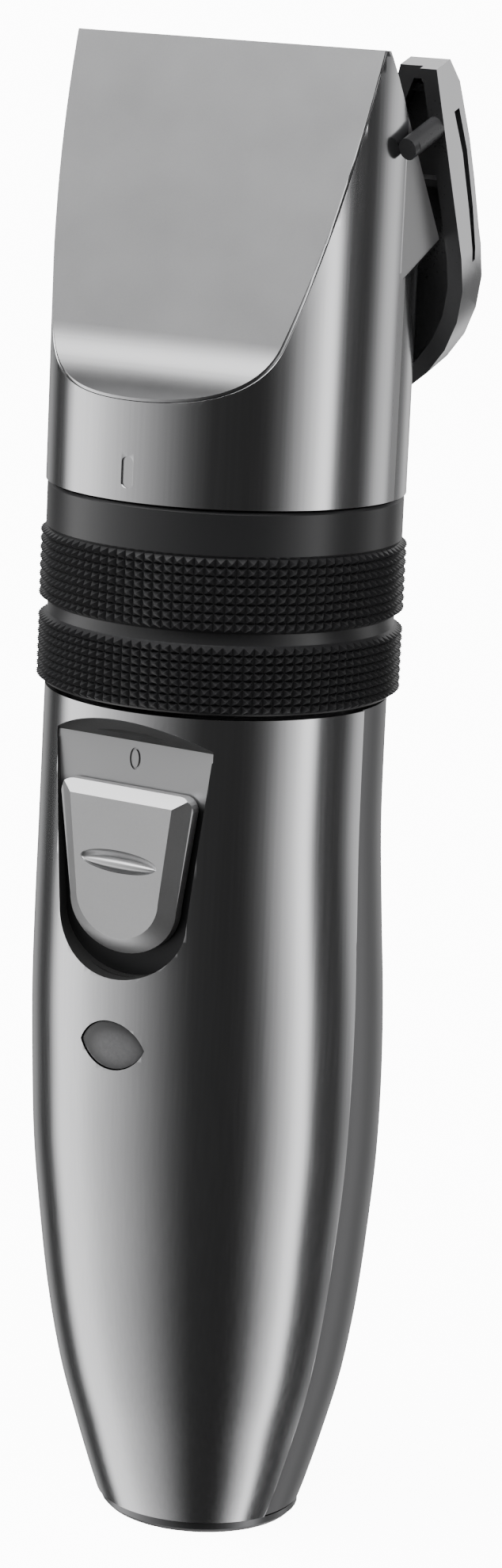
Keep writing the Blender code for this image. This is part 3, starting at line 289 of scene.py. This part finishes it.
NODE_FINISHES = {
    "satin": "front_shell head_shell",
    "dark": "rear_shell bottom_cap",
    "cover": "front_cover",
    "button": "switch_button",
    "black": "dial_ring",
    "tray": "blade_housing",
    "frosted": "led_lens",
    "inner": "chassis neck_sleeve dial_cam lift_collar switch_slider yoke_guide drive_yoke cutter_guide "
    "eccentric_cam charging_socket",
    "steel": "motor_can motor_plate motor_shaft comb_blade hinge_pin blade_screw_1 blade_screw_2 "
    "motor_screw_1 motor_screw_2 shell_screw_1 shell_screw_2",
    "brass": "shaft_bush switch_contacts",
    "ceramic": "moving_blade cutter_carrier",
    "wrap": "battery_cell",
    "board": "circuit_board",
    "clear": "light_pipe",
    "led": "indicator_led",
}


def finish_nodes(finishes):
    """Gives every carried-over CAD node its finish."""
    for key, names in NODE_FINISHES.items():
        for name in names.split():
            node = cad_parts[name]
            if not node.material_slots:
                node.data.materials.append(finishes[key])
            for slot in node.material_slots:
                slot.material = finishes[key]


# ---------------------------------------------------------------- modelling tools


def deselect():
    if bpy.context.mode != "OBJECT":
        bpy.ops.object.mode_set(mode="OBJECT")
    bpy.ops.object.select_all(action="DESELECT")


def begin(piece):
    """Selects only this piece, makes it active and enters edit mode."""
    deselect()
    piece.select_set(True)
    bpy.context.view_layer.objects.active = piece
    bpy.ops.object.mode_set(mode="EDIT")
    bpy.ops.mesh.select_mode(type="FACE")


def pick_faces(piece, wanted):
    """Selects the faces that pass a test on their middle and normal."""
    mesh = bmesh.from_edit_mesh(piece.data)
    for face in mesh.faces:
        face.select_set(bool(wanted(face.calc_center_median(), face.normal)))
    bmesh.update_edit_mesh(piece.data)


def pick_all():
    bpy.ops.mesh.select_all(action="SELECT")


def end(piece, normals=True):
    """Leaves edit mode with the faces pointing outwards and the place of the piece in its mesh."""
    if normals:
        pick_all()
        bpy.ops.mesh.remove_doubles(threshold=1e-6)
        bpy.ops.mesh.normals_make_consistent(inside=False)
    deselect()
    piece.data.transform(piece.matrix_world)
    piece.matrix_world = Matrix.Identity(4)
    return piece


def named(name):
    piece = bpy.context.active_object
    piece.name = name
    piece.data.name = name
    return piece


def stacked(name, rings, steps=128):
    """A solid drawn upwards from a disc through rings of (radius, y of the middle, z)."""
    deselect()
    radius, middle, height = rings[0]
    bpy.ops.mesh.primitive_circle_add(
        vertices=steps, radius=radius, fill_type="NGON", location=(0, middle, height)
    )
    piece = named(name)
    begin(piece)
    pick_all()
    for (old_r, old_y, old_z), (new_r, new_y, new_z) in zip(rings, rings[1:]):
        step = {"value": (0, new_y - old_y, new_z - old_z)}
        bpy.ops.mesh.extrude_region_move(TRANSFORM_OT_translate=step)
        grow = new_r / old_r
        bpy.ops.transform.resize(value=(grow, grow, 1), center_override=(0, new_y, new_z))
    return end(piece)


def slab(name, outline, axis, low, high):
    """An outline of (y, z), (x, z) or (x, y) pairs, pushed through from low to high along an axis."""
    place = {
        "X": lambda a, b: (low, a, b),
        "Y": lambda a, b: (a, low, b),
        "Z": lambda a, b: (a, b, low),
    }[axis]
    deselect()
    bpy.ops.mesh.primitive_circle_add(vertices=len(outline), radius=MM, fill_type="NGON")
    piece = named(name)
    for vertex, (a, b) in zip(piece.data.vertices, outline):
        vertex.co = place(a, b)
    begin(piece)
    pick_all()
    depth = high - low
    push = {"X": (depth, 0, 0), "Y": (0, depth, 0), "Z": (0, 0, depth)}[axis]
    bpy.ops.mesh.extrude_region_move(TRANSFORM_OT_translate={"value": push})
    return end(piece)


def applied(piece, kind, **settings):
    """Adds a modifier, sets it and applies it."""
    deselect()
    piece.select_set(True)
    bpy.context.view_layer.objects.active = piece
    step = piece.modifiers.new(kind.lower(), kind)
    for setting, value in settings.items():
        setattr(step, setting, value)
    bpy.ops.object.modifier_apply(modifier=step.name)
    return piece


def shaped_by(piece, tool, operation="DIFFERENCE"):
    """A Boolean with a tool that is then thrown away."""
    applied(piece, "BOOLEAN", operation=operation, object=tool, solver="EXACT")
    bpy.data.objects.remove(tool)
    return piece


def edged(piece, width, angle=35, segments=2):
    """Rounds the edges sharper than an angle."""
    settings = {"width": width, "segments": segments, "limit_method": "ANGLE"}
    settings |= {"angle_limit": math.radians(angle), "use_clamp_overlap": True, "harden_normals": False}
    return applied(piece, "BEVEL", **settings)


def smoothed(piece, angle=32):
    deselect()
    piece.select_set(True)
    bpy.context.view_layer.objects.active = piece
    bpy.ops.object.shade_smooth_by_angle(angle=math.radians(angle))
    return applied(piece, "WEIGHTED_NORMAL", keep_sharp=True, weight=50)


def finished(piece, look, body, slot, *nodes):
    """Puts on the finish, and says which body the piece rides on and which CAD nodes it stands for."""
    if look:
        piece.data.materials.clear()
        piece.data.materials.append(look)
    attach(piece, body)
    if nodes:
        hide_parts(*nodes)
    return piece


# ---------------------------------------------------------------- handle

# Share of the handle's height, radius over the barrel's, and how far the middle lies behind the axis in mm
HANDLE_SHAPE = (
    (0.000, 0.577, 3.9),
    (0.038, 0.640, 3.8),
    (0.100, 0.730, 3.6),
    (0.176, 0.828, 3.3),
    (0.262, 0.902, 2.9),
    (0.357, 0.956, 2.5),
    (0.452, 0.996, 2.1),
    (0.547, 1.010, 1.7),
    (0.642, 1.009, 1.1),
    (0.737, 0.993, 0.5),
    (0.851, 0.974, 0.0),
    (1.000, 0.968, 0.0),
)
HANDLE_TOP = 105.1 * MM


def handle_section(height):
    """(radius, y of the middle) of the handle at this height, on a smooth curve through HANDLE_SHAPE."""
    share = min(max(height / HANDLE_TOP, 0.0), 1.0)
    last = len(HANDLE_SHAPE) - 1
    index = 0
    while index < last - 1 and HANDLE_SHAPE[index + 1][0] <= share:
        index += 1
    low, high = HANDLE_SHAPE[index], HANDLE_SHAPE[index + 1]
    before, after = HANDLE_SHAPE[max(index - 1, 0)], HANDLE_SHAPE[min(index + 2, last)]
    span = high[0] - low[0]
    t = (share - low[0]) / span
    found = []
    for column in (1, 2):
        leaving = (high[column] - before[column]) / (high[0] - before[0]) * span
        arriving = (after[column] - low[column]) / (after[0] - low[0]) * span
        blend = (2 * t**3 - 3 * t**2 + 1) * low[column] + (t**3 - 2 * t**2 + t) * leaving
        found.append(blend + (3 * t**2 - 2 * t**3) * high[column] + (t**3 - t**2) * arriving)
    return found[0] * BARREL_R, found[1] * MM


def handle_skin(name, inset, low, high, levels=54):
    rings = []
    for level in range(levels + 1):
        height = low + (high - low) * level / levels
        radius, middle = handle_section(height)
        rings.append((radius - inset, middle, height))
    return stacked(name, rings)


def shield(half_width, taper, top, length, steps=28, corner=0.0):
    """(x, z) points: straight sides that close a little, a round end below and, if asked, round corners."""
    end_half = half_width - taper
    round_height = end_half * 0.82
    start = top - length + round_height
    points = [(half_width, top), (-half_width, top)]
    if corner:
        turns = [math.pi / 2 * index / 6 for index in range(7)]
        right = [(corner * math.cos(turn), corner * math.sin(turn)) for turn in turns]
        points = [(half_width - corner + x, top - corner + z) for x, z in right]
        points += [(-x, z) for x, z in reversed(points)]
    for index in range(steps + 1):
        angle = math.pi * index / steps
        points.append((-end_half * math.cos(angle), start - round_height * math.sin(angle)))
    return points


RECESS_TOP = HANDLE_TOP - 4.4 * MM
RECESS_LENGTH = 28.2 * MM
RECESS_HALF = 11.0 * MM
RECESS_FLOOR = -17.4 * MM
LIGHT_Z = 64.3 * MM  # middle of the charge light
FAR = 0.05  # well outside the handle, for the ends of cutting tools


def recess_tool():
    """What is cut away for the switch: straight in, with a ramp at its top."""
    outline = shield(RECESS_HALF, 2 * MM, RECESS_TOP, RECESS_LENGTH)
    tool = slab("recess_tool", outline, "Y", -FAR, RECESS_FLOOR)
    front = -1.2 * BARREL_R
    rise = RECESS_FLOOR - front
    ramp = [
        (RECESS_FLOOR, RECESS_TOP - MM),
        (RECESS_FLOOR, RECESS_TOP),
        (front, RECESS_TOP + 0.87 * rise),
        (front, RECESS_TOP - MM),
    ]
    return shaped_by(tool, slab("recess_top_tool", ramp, "X", -RECESS_HALF, RECESS_HALF), "UNION")


def almond(extra, steps=24):
    """The charge light's outline: two arcs that meet left and right, as (x, z) pairs."""
    half, rise, height = 4.4 * MM + extra, 2.9 * MM + extra, LIGHT_Z
    radius = (half**2 + rise**2) / (2 * rise)
    angle = math.asin(half / radius)
    points = []
    for index in range(steps + 1):
        turn = -angle + 2 * angle * index / steps
        points.append((radius * math.sin(turn), height + radius * math.cos(turn) - radius + rise))
    for index in range(1, steps):
        turn = angle - 2 * angle * index / steps
        points.append((radius * math.sin(turn), height - radius * math.cos(turn) + radius - rise))
    return points


def framed(half, low, high):
    """The four (x, z) corners of a rectangle centred on the axis."""
    return [(-half, low), (half, low), (half, high), (-half, high)]


def make_front_shell(finishes, low, high):
    """The front shell, hollow, with the switch recess and the charge light's opening."""
    front = handle_skin("handle_front", 0.0, low, high)
    shaped_by(front, handle_skin("front_hollow", WALL, low - MM, high + MM))
    shaped_by(front, slab("front_cutoff", framed(FAR, -10 * MM, 120 * MM), "Y", SEAM_Y, FAR))
    pad = slab("recess_pad", framed(11.6 * MM, 70.5 * MM, 104.3 * MM), "Y", -18.4 * MM, -15.9 * MM)
    shaped_by(pad, handle_skin("pad_limit", 0.3 * MM, low, high), "INTERSECT")
    shaped_by(front, pad, "UNION")
    shaped_by(front, recess_tool())
    shaped_by(front, slab("light_opening", almond(0.14 * MM), "Y", -FAR, -10 * MM))
    shaped_by(front, slab("stem_opening", framed(2.9 * MM, 82.6 * MM, 94.4 * MM), "Y", -FAR, -10 * MM))
    shaped_by(front, zero_mark())
    edged(front, 0.14 * MM, 40)
    finished(smoothed(front), finishes["satin"], "body", "satin_chrome", "front_shell")
    front.data.materials.append(finishes["shadow"])
    front.data.materials.append(finishes["floor"])
    # Recess walls get the near-black painted shadow, the recess floor its painted shade below the button
    walls, floor = 1, 2
    for face in front.data.polygons:
        x, y, z = face.center
        inside = abs(x) < RECESS_HALF + 0.05 * MM and 72 * MM < z < 104.5 * MM and y < -15.8 * MM
        radius, middle = handle_section(z)
        under_skin = math.hypot(x, y - middle) < radius - 0.12 * MM
        if inside and under_skin:
            on_floor = face.normal.y < -0.9 and y > RECESS_FLOOR - 0.05 * MM
            face.material_index = floor if on_floor else walls


def make_rear_shell(finishes, low, high):
    """The rear shell, a step below the front one, with openings for its two screws."""
    rear = handle_skin("handle_rear", REAR_STEP, low, high)
    shaped_by(rear, handle_skin("rear_hollow", WALL + REAR_STEP, low - MM, high + MM))
    shaped_by(rear, slab("rear_cutoff", framed(FAR, -10 * MM, 120 * MM), "Y", -FAR, SEAM_Y + GAP))
    for height in (20 * MM, 88 * MM):
        shaped_by(rear, slab("screw_opening", ring_points(2.9 * MM, 0, height), "Y", 10 * MM, FAR))
    edged(rear, 0.2 * MM, 40)
    finished(smoothed(rear), finishes["dark"], "body", "dark_chrome", "rear_shell")


def ring_points(radius, x, z, steps=32, tall=1.0):
    """The (x, z) points of a circle, or of an upright oval."""
    turns = [2 * math.pi * index / steps for index in range(steps)]
    return [(x + radius * math.cos(turn), z + tall * radius * math.sin(turn)) for turn in turns]


def zero_mark():
    """The engraved "0" over the switch: an upright oval line."""
    height = 98.6 * MM
    rim = ring_points(0.76 * MM, 0, height, tall=1.75)
    middle = ring_points(0.5 * MM, 0, height, tall=2.14)
    outer = slab("zero_mark", rim, "Y", -20 * MM, RECESS_FLOOR + 0.22 * MM)
    inner = slab("zero_middle", middle, "Y", -21 * MM, RECESS_FLOOR + MM)
    return shaped_by(outer, inner)


# ---------------------------------------------------------------- dial


KNURLS = 108  # pyramids round the dial
KNURL_ROWS = 8
KNURL_RISE = 0.86 * MM


def make_dial(finishes):
    """The black dial: a smooth band and two bands of small pyramids with a groove between them."""
    low, high = BODY_TOP, HEAD_BOTTOM - GAP
    inner_r, rim_r, groove_r, root_r = 19.7 * MM, 21.3 * MM, 20.9 * MM, 21.12 * MM
    grip_bands = ((105.6 * MM, 113.4 * MM), (115.2 * MM, 123.8 * MM))
    rings = [(rim_r - 0.3 * MM, 0, low)]
    for index, (start, stop) in enumerate(grip_bands):
        if index:
            groove = ((groove_r, 113.6), (groove_r - 0.1 * MM, 114.3), (groove_r, 115.0))
            rings += [(radius, 0, height * MM) for radius, height in groove]
        rings += [(root_r, 0, start + (stop - start) * row / KNURL_ROWS) for row in range(KNURL_ROWS + 1)]
    rings += [(rim_r, 0, 124.1 * MM), (rim_r, 0, 126.5 * MM)]
    rings += [(rim_r, 0, high - 0.3 * MM), (rim_r - 0.3 * MM, 0, high)]
    dial = stacked("knurled_dial", rings, KNURLS)
    begin(dial)

    def on_grip(middle, normal):
        return abs(normal.z) < 0.3 and any(start < middle.z < stop for start, stop in grip_bands)

    pick_faces(dial, on_grip)
    bpy.ops.mesh.poke(offset=KNURL_RISE)
    end(dial)
    bore = stacked("dial_bore", [(inner_r, 0, low - MM), (inner_r, 0, high + MM)], KNURLS)
    shaped_by(dial, bore)
    smoothed(dial, 25)
    finished(dial, finishes["black"], "dial", "black_plastic", "dial_ring")


# ---------------------------------------------------------------- switch and charge light


def make_button(finishes):
    """The sliding button: sloped sides round a flat panel, with a dished grip and its bar."""
    bottom = RECESS_TOP - RECESS_LENGTH + 2.9 * MM
    top = bottom + 20 * MM
    back, face = RECESS_FLOOR - GAP, -20.2 * MM
    outline = shield(9.3 * MM, 1.8 * MM, top, 20 * MM, corner=1.7 * MM)
    button = slab("slide_button", outline, "Y", back, -18.9 * MM)
    crown = slab("button_crown", shield(9.3 * MM, 1.8 * MM, top, 20 * MM), "Y", -18.9 * MM, face)
    begin(crown)
    pick_faces(crown, lambda middle, normal: middle.y < face + 0.01 * MM and normal.y < -0.9)
    bpy.ops.transform.resize(value=(0.77, 1, 0.83), center_override=(0, face, bottom + 11.6 * MM))
    end(crown)
    shaped_by(crown, slab("crown_limit", outline, "Y", -18.8 * MM, face - MM), "INTERSECT")
    shaped_by(button, crown, "UNION")
    edged(button, 0.2 * MM, 12, 3)
    stem = framed(2.5 * MM, 83.1 * MM, 89.1 * MM)
    shaped_by(button, slab("button_stem", stem, "Y", back - MM, RECESS_FLOOR + 1.7 * MM), "UNION")
    grip_z = bottom + 11.2 * MM
    dish = dished("grip_dish", 5.4 * MM, 1.35 * MM, 0.9 * MM, (0, face, grip_z))
    shaped_by(button, dish)
    bar = dished("grip_bar", 5.2 * MM, 0.62 * MM, 0.75 * MM, (0, face + 0.4 * MM, grip_z - 0.3 * MM))
    shaped_by(button, bar, "UNION")
    smoothed(button, 30)
    finished(button, finishes["button"], "switch", "satin_chrome", "switch_button")


def dished(name, half_x, half_z, half_y, place):
    """A flattened ball, used to dish or to raise a surface."""
    deselect()
    bpy.ops.mesh.primitive_uv_sphere_add(segments=48, ring_count=24, radius=1.0)
    piece = named(name)
    piece.data.transform(Matrix.Translation(place) @ Matrix.Diagonal((half_x, half_y, half_z, 1.0)))
    return piece


def make_light(finishes):
    """The charge light's almond lens, a little domed and set just under the skin."""
    radius, middle = handle_section(LIGHT_Z)
    face = middle - radius
    lens = slab("charge_light", almond(0.0, 32), "Y", face - MM, face + 2.2 * MM)
    shaped_by(lens, handle_skin("lens_limit", 0.22 * MM, 40 * MM, 90 * MM), "INTERSECT")
    edged(lens, 0.25 * MM, 40, 3)
    smoothed(lens, 40)
    finished(lens, finishes["frosted"], "body", "lens_grey", "led_lens")


# ---------------------------------------------------------------- head and cover


def slope_y(height, outward=0.0):
    """The head's rear slope at this height."""
    return RIDGE_Y + (FULL_RIDGE_Z - height) * math.tan(REAR_SLOPE) + outward / math.cos(REAR_SLOPE)


def cover_y(height, inward=0.0):
    """The cover's flat face at this height."""
    return COVER_TOP_Y - (FULL_RIDGE_Z - height) * math.tan(FRONT_SLOPE) + inward / math.cos(FRONT_SLOPE)


def front_profile(inward, steps=24):
    """The (y, z) line down the cover's face, round its scoop and out past the barrel."""
    scoop_r = 10.8 * MM
    radius = scoop_r + inward
    end_turn = math.radians(84)
    centre_z = HEAD_BOTTOM + 11.5 * MM + scoop_r
    centre_y = cover_y(centre_z) - scoop_r / math.cos(FRONT_SLOPE)
    points = []
    for index in range(steps + 1):
        angle = FRONT_SLOPE + (end_turn - FRONT_SLOPE) * index / steps
        points.append((centre_y + radius * math.cos(angle), centre_z - radius * math.sin(angle)))
    return points


def barrel(name, radius, low, high, levels=28):
    rings = [(radius, 0, low + (high - low) * level / levels) for level in range(levels + 1)]
    return stacked(name, rings, 160)


def wedge(name, inward, outward):
    """The head's side view: front face, bottom and rear slope."""
    front = front_profile(inward)
    closing = math.tan(FRONT_SLOPE) + math.tan(REAR_SLOPE)
    ridge = FULL_RIDGE_Z - (cover_y(FULL_RIDGE_Z, inward) - slope_y(FULL_RIDGE_Z, outward)) / closing
    low = HEAD_BOTTOM - 3 * MM
    last = front[-1]
    out = (last[0] - BARREL_R, last[1] - 0.8 * MM)
    outline = [(slope_y(ridge, outward), ridge)] + front + [out, (out[0], low), (slope_y(low, outward), low)]
    return slab(name, outline, "X", -2 * BARREL_R, 2 * BARREL_R)


def cheeks(name, inset):
    """The flat sides that run straight back from the barrel, down to a rounded ledge."""
    side = 21.4 * MM - inset
    corner_z = FULL_RIDGE_Z - 23 * MM + inset
    far_y = slope_y(corner_z) + 4 * MM
    top = FULL_RIDGE_Z + 0.9 * MM
    outline = [
        (0, corner_z - 5.8 * MM),
        (slope_y(corner_z), corner_z),
        (far_y, corner_z + 1.6 * MM),
        (far_y, top),
        (0, top),
    ]
    block = slab(name, outline, "X", -side, side)
    return edged(block, 1.2 * MM, 60, 5) if inset == 0 else block


def head_form(name, inset):
    low = HEAD_BOTTOM if inset == 0 else HEAD_BOTTOM - MM
    form = barrel(name, BARREL_R - inset, low, FULL_RIDGE_Z + MM)
    return shaped_by(form, cheeks(name + "_cheeks", inset), "UNION")


def make_head(finishes):
    """The hollow head with its two slopes, flat cheeks, rear opening and pointer mark."""
    seat = COVER_EDGE + COVER_SEAM
    head = head_form("clipper_head", 0.0)
    shaped_by(head, wedge("head_wedge", seat, 0.0), "INTERSECT")
    hollow = head_form("head_hollow", WALL)
    shaped_by(hollow, wedge("hollow_wedge", seat + WALL, -WALL), "INTERSECT")
    shaped_by(head, hollow)
    reach, top = 2 * BARREL_R, FULL_RIDGE_Z - 0.25 * MM
    shaped_by(head, slab("ridge_cut", framed(reach, top, 2 * top), "Y", -reach, reach))
    low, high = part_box("hinge_pin")[0].z - 2.2 * MM, FULL_RIDGE_Z - 4.9 * MM
    shaped_by(head, slab("rear_opening", framed(14.5 * MM, low, high), "Y", -0.8 * MM, FAR))
    line = shield(0.8 * MM, 0.0, 134.7 * MM, 3.7 * MM, 10, corner=0.7 * MM)
    shaped_by(head, slab("pointer_mark", line, "Y", -FAR, 0.25 * MM - BARREL_R))
    edged(head, 0.07 * MM, 35)
    finished(smoothed(head), finishes["satin"], "body", "satin_chrome", "head_shell")
    head.data.materials.append(finishes["blasted"])
    for face in head.data.polygons:
        x, y, _ = face.center
        if abs(face.normal.x) > 0.985 and abs(x) < 21.45 * MM and y > 2.0 * MM:
            face.material_index = 1


def make_cover(finishes):
    """The sloping front cover with its scooped foot and a fine bevel round its edge."""
    thick = COVER_EDGE
    top = FULL_RIDGE_Z - 0.2 * MM
    face = [(cover_y(top), top)] + front_profile(0.0)
    back = [(cover_y(top, thick), top)] + front_profile(thick)
    cover = slab("head_cover", face + back[::-1], "X", -BARREL_R, BARREL_R)
    shaped_by(cover, barrel("cover_limit", BARREL_R - 0.05 * MM, HEAD_BOTTOM, FULL_RIDGE_Z + MM), "INTERSECT")
    edged(cover, 0.1 * MM, 30, 2)
    finished(smoothed(cover, 30), finishes["cover"], "body", "cover_grey", "front_cover")
    cover.data.materials.append(finishes["satin"])
    for face in cover.data.polygons:
        across = Vector((face.center.x, face.center.y, 0))
        on_edge = across.length > BARREL_R - 0.2 * MM
        if on_edge and abs(face.normal.dot(across.normalized())) > 0.6:
            face.material_index = 1


# ---------------------------------------------------------------- blade unit and cap

HOLDER_HALF = 23.8 * MM
HOLDER_STRAIGHT = 22 * MM  # length of its straight sides
HOLDER_ROUND = 22 * MM  # length of its round tail


def copied(node, name):
    """A merged copy of a CAD node, as the start of a smoother piece."""
    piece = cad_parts[node].copy()
    piece.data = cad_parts[node].data.copy()
    piece.name = name
    piece.data.name = name
    for key in list(piece.keys()):
        del piece[key]
    piece.parent = None
    bpy.context.scene.collection.objects.link(piece)
    begin(piece)
    pick_all()
    bpy.ops.mesh.remove_doubles(threshold=5e-6)
    bpy.ops.mesh.dissolve_limited(angle_limit=math.radians(0.5))
    deselect()
    return piece


def holder_part(x, y, z, normal):
    """Which finish a face of the blade holder gets, from its middle and normal in the holder's own frame."""
    satin, tray, top = 0, 1, 2
    # The top face gets the pale painted light
    if normal.z > 0.7 and z > -4 * MM:
        return top
    fall = max(-z - HOLDER_STRAIGHT, 0.0)
    rim = HOLDER_HALF * math.sqrt(max(1 - (fall / HOLDER_ROUND) ** 2, 0.0))
    # Pocket, tail and side slot get the near-black tray finish as painted shade; the pegs share it
    in_pocket = abs(x) < rim - 1.85 * MM and y < 3.3 * MM and z < 0.1 * MM
    on_peg = y < -0.1 * MM and z > -8 * MM
    in_tail = y < 0.1 * MM or (z < -20 * MM and y < 3.3 * MM and abs(x) < rim - 0.3 * MM)
    side_depth = HOLDER_HALF - abs(x)
    in_slot = 0.1 * MM < side_depth < 0.9 * MM and 0.4 * MM < y < 5 * MM
    in_slot = in_slot and abs(normal.x) < 0.95 and z > -19 * MM
    return tray if in_pocket or on_peg or in_tail or in_slot else satin


def make_holder(finishes):
    """The blade holder: satin outside, near-black painted shade inside its tray, tail and side slot, pale
    painted light on its top face, and a snap peg on each side.
    """
    holder = copied("blade_housing", "blade_holder")
    shift = Matrix.Translation((0, 4.2 * MM, FULL_RIDGE_Z - 3.8 * MM))
    from_holder = shift @ Matrix.Rotation(HOLDER_TILT, 4, "X")
    for side in (-1, 1):
        outline = ring_points(1.12 * MM, side * 22.6 * MM, -5.6 * MM, tall=1.2)
        peg = slab("snap_peg", outline, "Y", -6.6 * MM, 1.5 * MM)
        peg.data.transform(from_holder)
        shaped_by(holder, peg, "UNION")
    edged(holder, 0.18 * MM, 35)
    look = finishes["satin"]
    finished(smoothed(holder, 35), look, "blade_unit", "satin_chrome", "blade_housing")
    # Second slot: near-black painted shade in the tray; third: pale painted light on the top face
    holder.data.materials.append(finishes["tray"])
    holder.data.materials.append(finishes["bright"])
    to_holder = from_holder.inverted()
    for face in holder.data.polygons:
        normal = to_holder.to_3x3() @ face.normal
        face.material_index = holder_part(*(to_holder @ face.center), normal)


def make_cap(finishes):
    """The cap of the charging end, with its edges rounded."""
    cap = copied("bottom_cap", "foot_cap")
    edged(cap, 0.15 * MM, 35)
    finished(smoothed(cap, 35), finishes["dark"], "body", "dark_chrome", "bottom_cap")


# ---------------------------------------------------------------- stage and light

CAMERA_TURN = math.radians(-57.8)  # direction of the camera from the dial's axis

# Bearing in degrees to the right of the camera, and how bright the studio is that way
STUDIO = (
    (-180, 0.25),
    (-158, 0.5),
    (-140, 0.06),
    (-126, 0.06),
    (-114, 2.2),
    (-96, 1.9),
    (-80, 1.2),
    (-66, 0.82),
    (-54, 0.58),
    (-43, 0.38),
    (-32, 0.22),
    (-22, 0.11),
    (-11, 0.045),
    (12, 0.035),
    (24, 0.04),
    (36, 0.16),
    (46, 0.6),
    (56, 1.4),
    (61, 2.5),
    (67, 3.0),
    (71, 0.08),
    (94, 0.05),
    (102, 0.3),
    (110, 0.95),
    (119, 1.2),
    (128, 0.15),
    (142, 0.25),
    (156, 0.9),
    (180, 0.25),
)
BRIGHTEST = 3.0
BACKDROP = 11.0


class Room(Finish):
    """The studio round the clipper: its brightness by bearing, and a soft box high in front."""

    def __init__(self):
        room = bpy.data.worlds.new("room")
        bpy.context.scene.world = room
        room.use_nodes = True
        self.tree = room.node_tree
        self.shader = self.tree.nodes["Background"]
        self.set("Color", (1.0, 1.0, 1.0, 1.0))
        self.place = self.add("TexCoord").outputs["Generated"]
        parts = self.add("SeparateXYZ", {}, {"Vector": self.place})
        self.x, self.y, self.z = (Value(self, socket) for socket in parts.outputs)

    def light(self):
        turn = self.y.worked("ARCTAN2", self.y, self.x)
        share = (turn - CAMERA_TURN) * (0.5 / math.pi) + 0.5
        share = share.worked("FRACT", share)
        stops = [((bearing + 180) / 360, (level / BRIGHTEST,) * 3) for bearing, level in STUDIO]
        walls = self.add("ValToRGB", {"stops": stops}, [share]).outputs["Color"]
        walls = Value(self, walls) * BRIGHTEST
        high = self.between(self.z, 0.48, 0.74)
        front = 1 - self.between(self.y, -0.35, 0.0)
        strength = walls * (1 - high) + (front * 6.0 + 0.08) * high
        seen = Value(self, self.add("LightPath").outputs["Is Camera Ray"])
        self.set("Strength", strength * (1 - seen) + seen * BACKDROP)

    def between(self, value, low, high):
        """0 below low, 1 above high and a smooth rise in between."""
        settings = {"interpolation_type": "SMOOTHSTEP", "clamp": True}
        node = self.add("MapRange", settings, {"Value": value, "From Min": low, "From Max": high})
        return Value(self, node.outputs["Result"])


def make_stage():
    """A plain pale floor that the metal doesn't mirror."""
    deselect()
    bpy.ops.mesh.primitive_grid_add(x_subdivisions=4, y_subdivisions=4, size=60.0)
    floor = named("floor")
    paper = Finish("pale_paper", (0.9, 0.9, 0.9), 0.9, 0.0, Emission_Strength=BACKDROP)
    fibre = paper.noise(60, 4.0)
    paper.set("Base Color", paper.blended(fibre, (0.88, 0.88, 0.88), (0.92, 0.92, 0.92)))
    paper.set("Emission Color", (1.0, 1.0, 1.0, 1.0))
    floor.data.materials.append(paper.material)
    floor.visible_glossy = False
    floor.visible_diffuse = False


def build():
    """Everything, in the order that a maker would put it together."""
    place_camera()
    finishes = make_finishes()
    finish_nodes(finishes)
    low, high = 1.7 * MM, HANDLE_TOP - GAP
    make_front_shell(finishes, low, high)
    make_rear_shell(finishes, low, high)
    make_dial(finishes)
    make_button(finishes)
    make_light(finishes)
    make_head(finishes)
    make_cover(finishes)
    make_holder(finishes)
    make_cap(finishes)
    make_stage()
    Room().light()


build()
